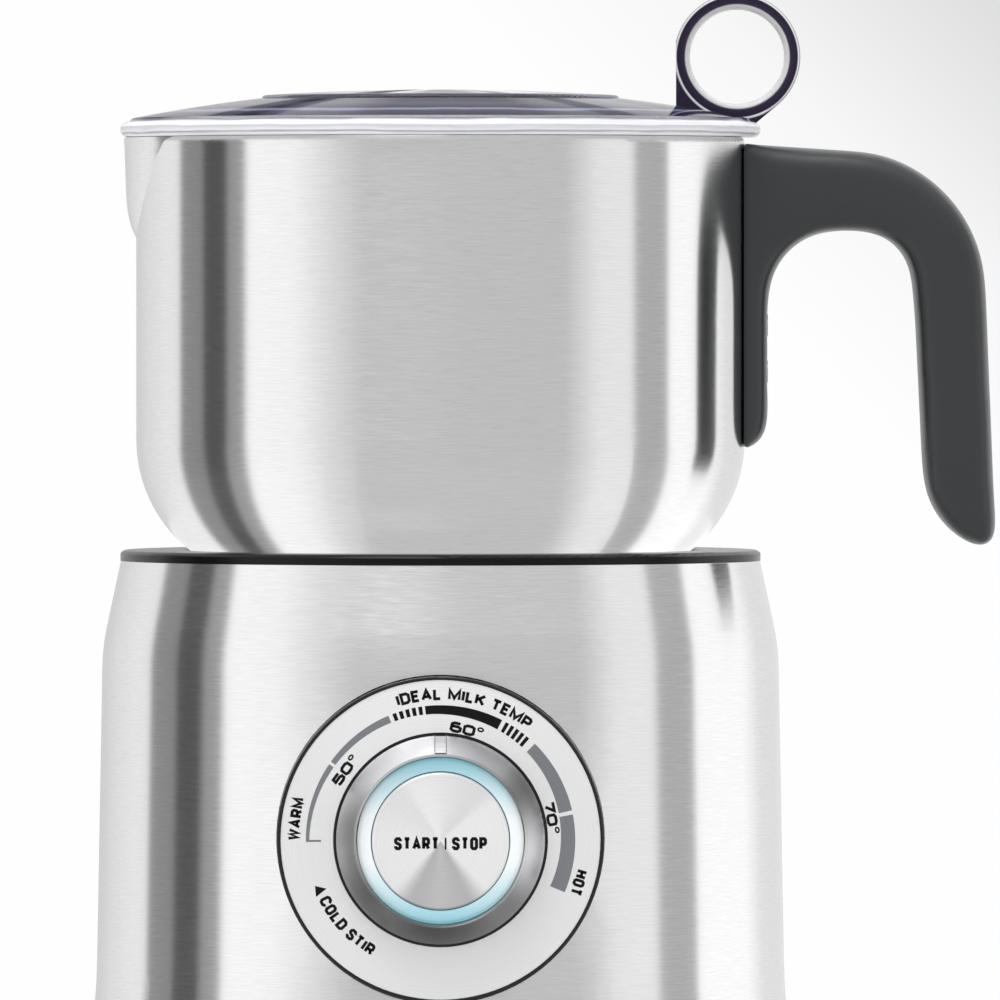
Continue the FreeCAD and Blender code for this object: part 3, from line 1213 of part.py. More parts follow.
part("disc_magnets", group("disc_magnets", [
    cylinder(f"disc_magnet_{n}", disc_magnet_r, disc_magnet_height, (x, y, disc_low))
    for n, (x, y, angle) in enumerate(disc_magnet_spots)]))
hub_cap_round = (hub_cap_r * hub_cap_r + hub_cap_height * hub_cap_height) / (hub_cap_height * 2)
part("hub_cap", turned("hub_cap", [
    (0, disc_hub_top), (hub_cap_r, disc_hub_top), (0, disc_hub_top + hub_cap_height, hub_cap_round)]))

# ---- check and write ---------------------------------------------------------------------------

doc.recompute()
for item in doc.Objects:
    if "Invalid" in item.State or "Error" in item.State:
        raise RuntimeError(f"{item.Label} failed: {item.State}")
for item in parts:
    if item.Shape.isNull() or not item.Shape.isValid():
        raise RuntimeError(f"{item.Label} has no valid shape")

os.makedirs("parts", exist_ok=True)
for item in parts:
    item.Shape.exportStep(f"parts/{item.Label}.step")
print(len(parts), "parts written")
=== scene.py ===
import math

import bpy
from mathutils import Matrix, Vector


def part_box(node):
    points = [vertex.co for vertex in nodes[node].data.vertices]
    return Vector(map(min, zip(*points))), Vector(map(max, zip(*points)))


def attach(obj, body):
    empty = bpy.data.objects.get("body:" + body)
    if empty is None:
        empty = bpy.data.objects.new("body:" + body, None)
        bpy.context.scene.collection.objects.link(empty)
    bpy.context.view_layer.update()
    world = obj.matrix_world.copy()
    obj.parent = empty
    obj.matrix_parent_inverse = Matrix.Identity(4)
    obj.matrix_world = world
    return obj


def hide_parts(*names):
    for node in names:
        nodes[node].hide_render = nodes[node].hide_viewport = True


# A milk frother on a white sweep: an induction base with a dial, a steel jug with a
# black handle, and a clear lid with a finger ring. Metres, Z up, dial towards -Y.

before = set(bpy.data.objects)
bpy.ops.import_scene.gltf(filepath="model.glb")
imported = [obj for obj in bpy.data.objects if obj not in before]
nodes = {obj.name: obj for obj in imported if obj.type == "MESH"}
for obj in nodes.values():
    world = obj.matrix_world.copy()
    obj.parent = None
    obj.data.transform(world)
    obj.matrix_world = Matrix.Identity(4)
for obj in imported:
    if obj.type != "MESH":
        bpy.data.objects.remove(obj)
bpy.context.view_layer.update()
bpy.ops.object.select_all(action="DESELECT")

MM = 0.001
DEG = math.pi / 180

# ---- camera and studio -------------------------------------------------------
# A long lens far in front and a little above the jug's middle, as for a catalogue.
# The studio is a wrap of soft boxes and grey flats that bright metal mirrors.

camera = bpy.data.objects.new("camera", bpy.data.cameras.new("camera"))
bpy.context.scene.collection.objects.link(camera)
camera.location = (0, -3.128, 0.160)
aim = Vector((0.0116, 0, 0.1217)) - Vector(camera.location)
camera.rotation_euler = aim.to_track_quat("-Z", "Y").to_euler()
camera.data.lens = 577.5
camera.data.sensor_width = 36
bpy.context.scene.camera = camera
bpy.context.scene.view_settings.view_transform = "Standard"


def linear(level):
    """Scene brightness of a display level from 0 to 255."""
    share = level / 255
    return share / 12.92 if share <= 0.04045 else ((share + 0.055) / 1.055) ** 2.4


def paint(code):
    """Linear colour of an sRGB hex code."""
    levels = [int(code[i:i + 2], 16) for i in (1, 3, 5)]
    return tuple(linear(level) for level in levels) + (1.0,)


def add(tree, kind, settings=None, wires=None):
    """Adds one node with its settings, and wires other nodes' sockets into it."""
    node = tree.nodes.new(kind)
    for name, value in (settings or {}).items():
        if isinstance(name, int) or name in node.inputs:
            node.inputs[name].default_value = value
        else:
            setattr(node, name, value)
    for name, socket in (wires or {}).items():
        tree.links.new(socket, node.inputs[name])
    return node


def fill_ramp(ramp, stops):
    """Sets a colour ramp's stops, given as (position, colour)."""
    while len(ramp.elements) < len(stops):
        ramp.elements.new(0.5)
    for element, (position, colour) in zip(ramp.elements, stops):
        element.position = position
        element.color = colour


def grey(shade):
    return shade, shade, shade, 1


def surface_of(material):
    """A material's main shader."""
    return material.node_tree.nodes["Principled BSDF"]


# azimuth in degrees, right of the camera positive, and the display level of the flat there
studio_flats = [(-180, 185), (-162, 196), (-146, 215), (-127, 230), (-118, 230), (-115, 138), (-102.5, 134),
                (-100.5, 80), (-89.5, 78), (-87.5, 148), (-80.5, 150), (-78, 250), (-57, 245), (-29, 191),
                (48, 191), (62, 230), (77, 233), (80, 171), (95, 171), (97, 254), (125, 252), (138, 222),
                (180, 205)]
# how much of a flat's light the brushed metal gives back
metal_share = 0.80


def studio_wrap(tree, direction):
    """The flats' colour in a direction. They curve in under the object, so a band
    seen in an upright wall runs on over a rounded corner."""
    parts_of = add(tree, "ShaderNodeSeparateXYZ", wires={0: direction})
    towards = add(tree, "ShaderNodeMath", {"operation": "SUBTRACT", 0: 1.001}, {1: parts_of.outputs["Y"]})
    around = add(tree, "ShaderNodeMath", {"operation": "ARCTAN2"},
                 {0: parts_of.outputs["X"], 1: towards.outputs[0]})
    share = add(tree, "ShaderNodeMapRange", {1: -math.pi / 2, 2: math.pi / 2}, {0: around.outputs[0]})
    flats = add(tree, "ShaderNodeValToRGB", wires={0: share.outputs[0]})
    fill_ramp(flats.color_ramp, [((azimuth + 180) / 360, grey(linear(level) / metal_share))
                                 for azimuth, level in studio_flats])
    return flats.outputs[0], parts_of.outputs["Z"]


world = bpy.data.worlds.new("studio")
bpy.context.scene.world = world
world.use_nodes = True
sky = world.node_tree
sky.nodes.clear()
facing = add(sky, "ShaderNodeTexCoord")
flats, height = studio_wrap(sky, facing.outputs["Generated"])
ceiling = add(sky, "ShaderNodeMapRange", {"interpolation_type": "SMOOTHSTEP", 1: 0.45, 2: 0.62}, {0: height})
ceiling_light = (1.05, 1.05, 1.06, 1)
room = add(sky, "ShaderNodeMix", {"data_type": "RGBA", 7: ceiling_light},
           {0: ceiling.outputs[0], 6: flats})
lit = add(sky, "ShaderNodeBackground", {"Strength": 1.0}, {"Color": room.outputs[2]})
# the sweep behind falls off to grey towards the top right of the picture
corner = add(sky, "ShaderNodeVectorMath", {"operation": "DOT_PRODUCT", 1: (-1, -1, 0)},
             {0: facing.outputs["Window"]})
from_corner = add(sky, "ShaderNodeMath", {"operation": "ADD", 1: 2.0}, {0: corner.outputs["Value"]})
backdrop = add(sky, "ShaderNodeValToRGB", wires={0: from_corner.outputs[0]})
backdrop_levels = [(0.0, 222), (0.13, 233), (0.3, 247), (0.55, 254)]
fill_ramp(backdrop.color_ramp, [(share, grey(linear(level))) for share, level in backdrop_levels])
seen = add(sky, "ShaderNodeBackground", {"Strength": 1.0}, {"Color": backdrop.outputs[0]})
ray = add(sky, "ShaderNodeLightPath")
sky_mix = add(sky, "ShaderNodeMixShader", None,
              {0: ray.outputs["Is Camera Ray"], 1: lit.outputs[0], 2: seen.outputs[0]})
add(sky, "ShaderNodeOutputWorld", None, {"Surface": sky_mix.outputs[0]})


def mirror_studio(material, share=1.0):
    """Makes a surface show the studio's flats in other things' reflections instead of
    itself, so the metal above it mirrors no dark table edge."""
    tree = material.node_tree
    surface = surface_of(material)
    seen_from = add(tree, "ShaderNodeNewGeometry")
    away = add(tree, "ShaderNodeVectorMath", {"operation": "MULTIPLY", 1: (-1, -1, -1)},
               {0: seen_from.outputs["Incoming"]})
    wrap, _ = studio_wrap(tree, away.outputs[0])
    tree.links.new(wrap, surface.inputs["Emission Color"])
    path = add(tree, "ShaderNodeLightPath")
    part_of = add(tree, "ShaderNodeMath", {"operation": "MULTIPLY", 1: share},
                  {0: path.outputs["Is Glossy Ray"]})
    tree.links.new(part_of.outputs[0], surface.inputs["Emission Strength"])


lamp = bpy.data.objects.new("overhead_box", bpy.data.lights.new("overhead_box", "AREA"))
bpy.context.scene.collection.objects.link(lamp)
lamp.data.shape = "DISK"
lamp.data.size = 0.9
lamp.data.energy = 9
lamp.location = (-0.35, -0.7, 1.5)
lamp.rotation_euler = (Vector((0, 0, 0.1)) - Vector(lamp.location)).to_track_quat("-Z", "Y").to_euler()

bpy.ops.mesh.primitive_circle_add(vertices=128, radius=0.45, fill_type="NGON", location=(0, 0, 0))
floor = bpy.context.object
floor.name = "floor"
floor_card = bpy.data.materials.new("matt_white_card")
floor_card.use_nodes = True
card_tree = floor_card.node_tree
card = surface_of(floor_card)
card.inputs["Roughness"].default_value = 0.9
# in reflections the card turns black and glows with the studio's flats instead, a painted reflection; seen
# directly it is white
card_path = add(card_tree, "ShaderNodeLightPath")
card_tone = add(card_tree, "ShaderNodeMix", {"data_type": "RGBA", 6: paint("#f4f4f4"), 7: paint("#000000")},
                {0: card_path.outputs["Is Glossy Ray"]})
card_tree.links.new(card_tone.outputs[2], card.inputs["Base Color"])
mirror_studio(floor_card)
floor.data.materials.append(floor_card)

# ---- outer shell ---------------------------------------------------------------
# A drawn sleeve of 0.7 mm stainless sheet, brushed round its girth with a belt, so
# fine level scratches spread its reflections upwards and downwards.


def begin(name):
    """A new material: itself, its node tree and its surface shader."""
    material = bpy.data.materials.new(name)
    material.use_nodes = True
    return material, material.node_tree, surface_of(material)


def give(material, *names):
    """Puts one material on all of a CAD node's faces."""
    for name in names:
        nodes[name].data.materials.clear()
        nodes[name].data.materials.append(material)


def mottled(tree, code, pattern, low, high):
    """A colour made darker and lighter by a noise pattern, from low to high."""
    shade = add(tree, "ShaderNodeMapRange", {1: 0.3, 2: 0.7, 3: low, 4: high}, {0: pattern})
    return add(tree, "ShaderNodeMix", {"data_type": "RGBA", "blend_type": "MULTIPLY", 0: 1.0, 6: paint(code)},
               {7: shade.outputs[0]}).outputs[2]


def brushed_steel(name, code, scratch_mm, streak_mm, depth_mm):
    """Metal brushed along the level: scratches scratch_mm high in patches streak_mm long."""
    material, tree, metal = begin(name)
    metal.inputs["Metallic"].default_value = 1.0
    metal.inputs["Anisotropic"].default_value = 0.95
    place = add(tree, "ShaderNodeTexCoord")
    stretch = add(tree, "ShaderNodeMapping", {"Scale": (1 / (streak_mm * MM), 1 / (streak_mm * MM),
                                                        1 / (scratch_mm * MM))}, {0: place.outputs["Object"]})
    scratches = add(tree, "ShaderNodeTexNoise", {"Scale": 1.0, "Detail": 3.0, "Roughness": 0.6},
                    {"Vector": stretch.outputs[0]})
    tree.links.new(mottled(tree, code, scratches.outputs[0], 0.94, 1.03), metal.inputs["Base Color"])
    gloss = add(tree, "ShaderNodeMapRange", {1: 0.3, 2: 0.7, 3: 0.17, 4: 0.22}, {0: scratches.outputs[0]})
    tree.links.new(gloss.outputs[0], metal.inputs["Roughness"])
    relief = add(tree, "ShaderNodeBump", {"Strength": 0.06, "Distance": depth_mm * MM},
                 {"Height": scratches.outputs[0]})
    tree.links.new(relief.outputs[0], metal.inputs["Normal"])
    upright = add(tree, "ShaderNodeCombineXYZ", {"Z": 1.0})
    tree.links.new(upright.outputs[0], metal.inputs["Tangent"])
    return material


shell_steel = brushed_steel("brushed_stainless_sheet", "#e6e6e7", 0.2, 4.0, 0.02)
give(shell_steel, "outer_shell")

# ---- deck, pan, feet and cord bush ------------------------------------------------
# Black ABS mouldings with a spark-eroded texture, and rubber feet and bush; the
# texture breaks up the gloss without hiding the moulded edges.


def moulded(name, code, roughness, grain_mm, depth_mm):
    """Moulded plastic or rubber with a fine eroded grain."""
    material, tree, plastic = begin(name)
    place = add(tree, "ShaderNodeTexCoord")
    grain = add(tree, "ShaderNodeTexNoise", {"Scale": 1 / (grain_mm * MM), "Detail": 3.0},
                {"Vector": place.outputs["Object"]})
    cloud = add(tree, "ShaderNodeTexNoise", {"Scale": 1 / (25 * MM), "Detail": 2.0},
                {"Vector": place.outputs["Object"]})
    tree.links.new(mottled(tree, code, cloud.outputs[0], 0.9, 1.1), plastic.inputs["Base Color"])
    gloss = add(tree, "ShaderNodeMapRange", {1: 0.3, 2: 0.7, 3: roughness - 0.05, 4: roughness + 0.05},
                {0: grain.outputs[0]})
    tree.links.new(gloss.outputs[0], plastic.inputs["Roughness"])
    relief = add(tree, "ShaderNodeBump", {"Strength": 0.3, "Distance": depth_mm * MM},
                 {"Height": grain.outputs[0]})
    tree.links.new(relief.outputs[0], plastic.inputs["Normal"])
    return material


black_abs = moulded("black_textured_abs", "#101214", 0.42, 0.5, 0.02)
gloss_abs = moulded("black_polished_abs", "#08090a", 0.22, 0.8, 0.005)
foot_rubber = moulded("black_foot_rubber", "#1b1b1c", 0.75, 0.4, 0.03)
surface_of(gloss_abs).inputs["Specular IOR Level"].default_value = 0.2
mirror_studio(gloss_abs)
give(black_abs, "base_pan", "fan_frame", "fan_rotor")
give(gloss_abs, "top_deck")
give(foot_rubber, "foot_1", "foot_2", "foot_3", "foot_4", "cord_bush", "motor_grommets")

# ---- parts inside the base ----------------------------------------------------------
# Coil, motor, fan and boards: each has its own common finish, hidden while the base is
# closed and seen when it is taken apart.

zinc = brushed_steel("zinc_plated_steel", "#b9bdc4", 0.8, 1.2, 0.01)
grey_nylon = moulded("grey_glass_filled_nylon", "#5b5e61", 0.5, 0.5, 0.02)
mica = moulded("pressed_mica_sheet", "#b9a67e", 0.6, 1.5, 0.02)
ferrite = moulded("sintered_ferrite", "#232326", 0.55, 0.4, 0.03)
board_green = moulded("lacquered_glass_board", "#1d5a35", 0.25, 0.6, 0.005)
epoxy = moulded("black_epoxy", "#151517", 0.45, 0.4, 0.01)
blue_sleeve = moulded("blue_shrink_sleeve", "#24477f", 0.3, 1.0, 0.01)
red_box = moulded("red_dipped_capacitor", "#9c2f22", 0.35, 1.0, 0.01)
white_epoxy = moulded("white_led_epoxy", "#f2f0e6", 0.2, 0.5, 0.002)
acetal = moulded("natural_acetal", "#e3e1da", 0.35, 0.5, 0.005)
silicone = moulded("grey_silicone", "#8d9094", 0.55, 0.4, 0.01)
copper = brushed_steel("lacquered_copper_wire", "#c8794f", 0.5, 3.0, 0.01)
extruded = brushed_steel("extruded_aluminium", "#c9ccd0", 2.0, 0.6, 0.02)
give(zinc, "pan_screws", "carrier_screws", "bracket_screws", "fan_screws", "board_screws", "motor_can",
     "motor_bracket", "handle_screws", "jug_base_plate", "drive_magnets", "disc_magnets", "motor_shaft",
     "sensor_spring")
give(grey_nylon, "coil_carrier", "sensor_holder", "magnet_carrier")
give(mica, "mica_sheet")
give(ferrite, "ferrite_bars")
give(board_green, "main_board", "control_board")
give(epoxy, "power_transistor", "tact_switch", "button_guide")
give(blue_sleeve, "bulk_capacitor", "encoder_body")
give(red_box, "film_capacitor")
give(white_epoxy, "leds")
give(acetal, "knob_sleeve", "encoder_pinion")
give(copper, "induction_coil", "filter_choke")
give(extruded, "heat_sink", "sensor_cap")

# ---- dial housing and printed plate --------------------------------------------------
# A black puck through the shell carries a spun steel plate. The scale is pad printed:
# ink 0.02 mm proud of the metal.

plate_low, plate_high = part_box("dial_plate")
dial_x = (plate_low.x + plate_high.x) / 2
dial_z = (plate_low.z + plate_high.z) / 2
plate_y = plate_low.y
housing_abs = moulded("black_polished_housing", "#08090a", 0.25, 0.8, 0.005)
give(housing_abs, "dial_housing")


def spun_steel(name, code, roughness, anisotropy, painted_wedges):
    """Steel faced on a lathe: rings round the dial's axis. Light and dark fans are painted into its
    colour by angle, painted highlight and shade, given in painted_wedges as (share of a turn from the left
    over the top, display level)."""
    material, tree, metal = begin(name)
    metal.inputs["Metallic"].default_value = 1.0
    metal.inputs["Anisotropic"].default_value = anisotropy
    place = add(tree, "ShaderNodeTexCoord")
    centred = add(tree, "ShaderNodeMapping", {"Location": (-dial_x, -plate_y, -dial_z)},
                  {0: place.outputs["Object"]})
    flat = add(tree, "ShaderNodeVectorMath", {"operation": "MULTIPLY", 1: (1, 0, 1)}, {0: centred.outputs[0]})
    radius = add(tree, "ShaderNodeVectorMath", {"operation": "LENGTH"}, {0: flat.outputs[0]})
    ring_mm = 0.22
    rings = add(tree, "ShaderNodeTexNoise",
                {"noise_dimensions": "1D", "Scale": 1 / (ring_mm * MM), "Detail": 3.0},
                {"W": radius.outputs["Value"]})
    colour = mottled(tree, code, rings.outputs[0], 0.95, 1.03)
    where = add(tree, "ShaderNodeSeparateXYZ", wires={0: centred.outputs[0]})
    down = add(tree, "ShaderNodeMath", {"operation": "MULTIPLY", 1: -1.0}, {0: where.outputs["Z"]})
    round_it = add(tree, "ShaderNodeMath", {"operation": "ARCTAN2"},
                   {0: down.outputs[0], 1: where.outputs["X"]})
    share = add(tree, "ShaderNodeMapRange", {1: -math.pi, 2: math.pi}, {0: round_it.outputs[0]})
    fan = add(tree, "ShaderNodeValToRGB", wires={0: share.outputs[0]})
    fan.color_ramp.interpolation = "EASE"
    fill_ramp(fan.color_ramp, [(position, grey(linear(level))) for position, level in painted_wedges])
    painted_sheen = add(tree, "ShaderNodeMix", {"data_type": "RGBA", "blend_type": "MULTIPLY", 0: 1.0},
                {6: colour, 7: fan.outputs[0]})
    tree.links.new(painted_sheen.outputs[2], metal.inputs["Base Color"])
    gloss = add(tree, "ShaderNodeMapRange", {1: 0.3, 2: 0.7, 3: roughness - 0.03, 4: roughness + 0.04},
                {0: rings.outputs[0]})
    tree.links.new(gloss.outputs[0], metal.inputs["Roughness"])
    tree.links.new(flat.outputs[0], metal.inputs["Tangent"])
    return material


# shares of a turn: 0 left, 0.25 top, 0.5 right, 0.75 bottom
# each list below paints highlight and shade into the steel's colour by angle round the dial
plate_steel = spun_steel("spun_steel_plate", "#ffffff", 0.38, 0.3,
                         [(0, 250), (0.25, 254), (0.6, 248), (1, 250)])
knob_steel = spun_steel("turned_steel_knob", "#e6e6e8", 0.42, 0.3,
                        [(0, 200), (0.12, 240), (0.25, 240), (0.34, 200), (0.41, 140), (0.52, 250),
                         (0.62, 160), (0.76, 112), (0.88, 135), (1, 200)])
button_steel = spun_steel("spun_steel_button", "#ffffff", 0.34, 0.3,
                          [(0, 252), (0.14, 244), (0.18, 255), (0.36, 240), (0.41, 255), (0.62, 252),
                           (0.68, 196), (0.75, 205), (0.82, 196), (0.88, 252), (1, 252)])
# fine facing scatters part of the light, so plate and button read nearly white
for satin in (plate_steel, button_steel):
    surface_of(satin).inputs["Metallic"].default_value = 0.6
give(plate_steel, "dial_plate")
give(knob_steel, "knob_ring")
give(button_steel, "start_button")


def on_dial(radius_mm, degrees, out_mm=0.0):
    """A point of the dial: degrees clockwise from twelve o'clock, out from the plate."""
    angle = degrees * DEG
    return Vector((dial_x + radius_mm * MM * math.sin(angle), plate_y - out_mm * MM,
                   dial_z + radius_mm * MM * math.cos(angle)))


def ink(name, code):
    """Pad-printing ink: a thin satin film, slightly uneven in cover."""
    material, tree, film = begin(name)
    place = add(tree, "ShaderNodeTexCoord")
    cover = add(tree, "ShaderNodeTexNoise", {"Scale": 1 / (0.6 * MM)}, {"Vector": place.outputs["Object"]})
    shade = add(tree, "ShaderNodeMapRange", {3: 0.92, 4: 1.08}, {0: cover.outputs[0]})
    colour = add(tree, "ShaderNodeMix",
                 {"data_type": "RGBA", "blend_type": "MULTIPLY", 0: 1.0, 6: paint(code)},
                 {7: shade.outputs[0]})
    tree.links.new(colour.outputs[2], film.inputs["Base Color"])
    film.inputs["Roughness"].default_value = 0.6
    film.inputs["Specular IOR Level"].default_value = 0.2
    return material


black_ink = ink("black_printing_ink", "#060607")
# grey ink prints the scale, and also makes the painted shade beside the knob pointer
grey_ink_and_painted_shade = ink("grey_printing_ink_and_painted_shade", "#7b7d81")


ink_mm = 0.02


def film_piece(name, verts, faces, thick_mm, material, body):
    """A thin film laid on a moving body, solid through its thickness."""
    mesh = bpy.data.meshes.new(name)
    mesh.from_pydata(verts, [], faces)
    piece = bpy.data.objects.new(name, mesh)
    bpy.context.scene.collection.objects.link(piece)
    film = piece.modifiers.new("film", "SOLIDIFY")
    film.thickness = thick_mm * MM
    film.offset = 0
    mesh.materials.append(material)
    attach(piece, body)


def band(name, start, end, inner_start, inner_end, outer, material):
    """A printed arc from start to end degrees whose inner edge runs between two radii."""
    steps = max(2, round(abs(end - start) / 2))
    inner_side = []
    outer_side = []
    for step in range(steps + 1):
        share = step / steps
        angle = start + (end - start) * share
        inner_side.append(on_dial(inner_start + (inner_end - inner_start) * share, angle, ink_mm))
        outer_side.append(on_dial(outer, angle, ink_mm))
    faces = [(k, k + 1, steps + 2 + k, steps + 1 + k) for k in range(steps)]
    film_piece(name, inner_side + outer_side, faces, ink_mm, material, "base")


scale_outer = 25.7
scale_first, scale_last = -90, 112.9
inner_first, inner_last = 25.05, 22.7


def scale_inner(degrees):
    """The scale's inner edge: the band widens clockwise, from WARM round to HOT."""
    return inner_first - (degrees - scale_first) * (inner_first - inner_last) / (scale_last - scale_first)


def scale_band(name, start, end, material):
    band(name, start, end, scale_inner(start), scale_inner(end), scale_outer, material)


scale_band("scale_low", scale_first, -55.8, grey_ink_and_painted_shade)
scale_band("scale_mild", -54.5, -22.8, grey_ink_and_painted_shade)
scale_band("scale_ideal", -6.7, 27.2, black_ink)
scale_band("scale_warm", 44.4, 77.3, grey_ink_and_painted_shade)
scale_band("scale_hot", 79.1, scale_last, grey_ink_and_painted_shade)
band("scale_tick", -90.9, scale_first, 22.8, 22.8, scale_outer, grey_ink_and_painted_shade)
for number in range(5):
    start = -21 + number * 2.85
    scale_band(f"hatch_rise_{number}", start, start + 1.7, black_ink)
    start = 29 + number * 2.65
    scale_band(f"hatch_fall_{number}", start, start + 1.6, black_ink)


# Bold condensed capitals as pen strokes on a unit square: (width, strokes). A stroke
# that ends where it starts is closed.
bowl = [(0, 0), (0, 1), (0.75, 1), (1, 0.87), (1, 0.56), (0.75, 0.43), (0, 0.43)]
oval = [(0.25, 0), (0.75, 0), (1, 0.16), (1, 0.84), (0.75, 1), (0.25, 1), (0, 0.84), (0, 0.16), (0.25, 0)]
pen = {
    "A": (0.46, [[(0, 0), (0.5, 1), (1, 0)], [(0.2, 0.3), (0.8, 0.3)]]),
    "C": (0.40, [[(1, 0.72), (1, 0.84), (0.75, 1), (0.25, 1), (0, 0.84), (0, 0.16), (0.25, 0), (0.75, 0),
                  (1, 0.16), (1, 0.28)]]),
    "D": (0.40, [[(0, 0), (0, 1), (0.7, 1), (1, 0.82), (1, 0.18), (0.7, 0), (0, 0)]]),
    "E": (0.33, [[(1, 1), (0, 1), (0, 0), (1, 0)], [(0, 0.52), (0.85, 0.52)]]),
    "H": (0.41, [[(0, 0), (0, 1)], [(1, 0), (1, 1)], [(0, 0.52), (1, 0.52)]]),
    "I": (0.0, [[(0, 0), (0, 1)]]),
    "K": (0.42, [[(0, 0), (0, 1)], [(1, 1), (0, 0.38)], [(0.35, 0.58), (1, 0)]]),
    "L": (0.32, [[(0, 1), (0, 0), (1, 0)]]),
    "M": (0.55, [[(0, 0), (0, 1), (0.5, 0.12), (1, 1), (1, 0)]]),
    "O": (0.40, [oval]),
    "P": (0.38, [bowl]),
    "R": (0.40, [bowl, [(0.62, 0.43), (1, 0)]]),
    "S": (0.38, [[(1, 0.74), (1, 0.85), (0.75, 1), (0.25, 1), (0, 0.86), (0, 0.68), (0.2, 0.55), (0.8, 0.45),
                  (1, 0.32), (1, 0.14), (0.75, 0), (0.25, 0), (0, 0.15), (0, 0.26)]]),
    "T": (0.40, [[(0, 1), (1, 1)], [(0.5, 1), (0.5, 0)]]),
    "W": (0.62, [[(0, 1), (0.25, 0), (0.5, 0.9), (0.75, 0), (1, 1)]]),
    "5": (0.55, [[(0.95, 1), (0.06, 1), (0, 0.56), (0.75, 0.58), (1, 0.45), (1, 0.14), (0.75, 0), (0.2, 0),
                  (0, 0.12)]]),
    "6": (0.55, [[(0.9, 1), (0.25, 1), (0, 0.84), (0, 0.16), (0.25, 0), (0.75, 0), (1, 0.16), (1, 0.44),
                  (0.75, 0.58), (0, 0.58)]]),
    "7": (0.55, [[(0, 1), (1, 1), (0.4, 0)]]),
    "0": (0.58, [oval]),
    "°": (0.3, [[(0.3, 1.1), (0.7, 1.1), (1, 0.98), (1, 0.82), (0.7, 0.7), (0.3, 0.7), (0, 0.82), (0, 0.98),
                 (0.3, 1.1)]]),
    "|": (0.0, [[(0, -0.1), (0, 1.1)]]),
}


def pen_stroke(points, width, verts, faces):
    """Adds one flat stroke of even width with mitred corners."""
    closed = points[0] == points[-1]
    spine = points[:-1] if closed else points
    count = len(spine)
    first = len(verts)
    for index, (x, y) in enumerate(spine):
        before = spine[index - 1] if closed or index > 0 else None
        after = spine[(index + 1) % count] if closed or index < count - 1 else None
        arms = []
        if before:
            arms.append(Vector((x - before[0], y - before[1])).normalized())
        if after:
            arms.append(Vector((after[0] - x, after[1] - y)).normalized())
        lean = sum(arms, Vector((0, 0))).normalized()
        normal = Vector((-lean.y, lean.x))
        spread = width / 2 / max(0.45, abs(normal.dot(Vector((-arms[0].y, arms[0].x)))))
        verts.append((x + normal.x * spread, y + normal.y * spread))
        verts.append((x - normal.x * spread, y - normal.y * spread))
    for index in range(count if closed else count - 1):
        a = first + index * 2
        b = first + (index + 1) % count * 2
        faces.append((a, a + 1, b + 1, b))


word_space = 0.3
fine_pen = 0.55


def lettering(name, words, height_mm, length_mm, material, place, body="base", weight=0.25, gap=0.08):
    """Printed words whose flat points (along, up) in mm are set by place."""
    letters = [letter for letter in words if letter != " "]
    open_mm = length_mm - (len(letters) * (weight + gap) - gap) * height_mm
    stretch = open_mm / (sum(pen[c][0] if c != " " else word_space for c in words) * height_mm)
    verts = []
    faces = []
    cursor = -length_mm / 2
    for letter in words:
        if letter == " ":
            cursor += word_space * height_mm * stretch
            continue
        width, strokes = pen[letter]
        line = weight * height_mm
        for stroke in strokes:
            points = [(cursor + line / 2 + x * width * height_mm * stretch,
                       line / 2 + y * (height_mm - line) - height_mm / 2) for x, y in stroke]
            pen_stroke(points, line * (fine_pen if letter in "°|" else 1), verts, faces)
        cursor += (width * stretch + weight + gap) * height_mm
    film_piece(name, [place(along, up) for along, up in verts], faces, ink_mm, material, body)


def on_arc(radius_mm, middle, inwards=False):
    """Places flat print round the dial at a middle angle, tops outward or inward."""
    side = -1 if inwards else 1
    return lambda along, up: on_dial(radius_mm + up * side, middle + along * side / radius_mm / DEG, ink_mm)


def on_line(radius_mm, middle):
    """Places flat print square to the radius at an angle."""
    across = Vector((math.cos(middle * DEG), 0, -math.sin(middle * DEG)))
    upward = Vector((math.sin(middle * DEG), 0, math.cos(middle * DEG)))
    return lambda along, up: on_dial(radius_mm, middle, ink_mm) + across * along * MM + upward * up * MM


lettering("phrase", "IDEAL MILK TEMP", 2.3, 27.0, black_ink, on_arc(27.8, 10.2))
lettering("mark_sixty", "60°", 2.1, 6.6, black_ink, on_line(21.6, 13.5), weight=0.27)
lettering("mark_fifty", "50°", 2.1, 6.6, black_ink, on_line(22.5, -53.7), weight=0.27)
lettering("mark_seventy", "70°", 2.1, 6.4, black_ink, on_line(21.6, 78.8), weight=0.27)
lettering("warm", "WARM", 2.3, 8.2, black_ink, on_line(27.9, -81.8))
lettering("hot", "HOT", 2.3, 5.0, black_ink, on_line(27.6, 107.3))
lettering("cold_stir", "COLD STIR", 2.3, 14.2, black_ink, on_arc(24.8, -132.6, inwards=True))

arrow_middle = on_dial(24.9, -113.4, ink_mm)
arrow_corners = [(-0.9, 0, -1.0), (1.1, 0, 0.6), (-1.1, 0, 1.1)]
film_piece("cold_pointer", [arrow_middle + Vector(corner) * MM for corner in arrow_corners], [(0, 1, 2)],
           ink_mm, black_ink, "base")

# ---- knob pointer --------------------------------------------------------------------
# A bright inlay lies in the slot across the knob's bevel, between two grey strips of painted
# shade for the slot's cut edges, with a black strip at its outer end. The bevel is given as (radius, height)
# in mm.

strip_mm = 0.06
knob_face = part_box("knob_ring")[0].y
bevel_line = [(16.7, 10.56), (17.6, 9.4), (18.4, 8.0), (19.1, 6.5), (19.7, 4.9), (19.95, 4.25)]


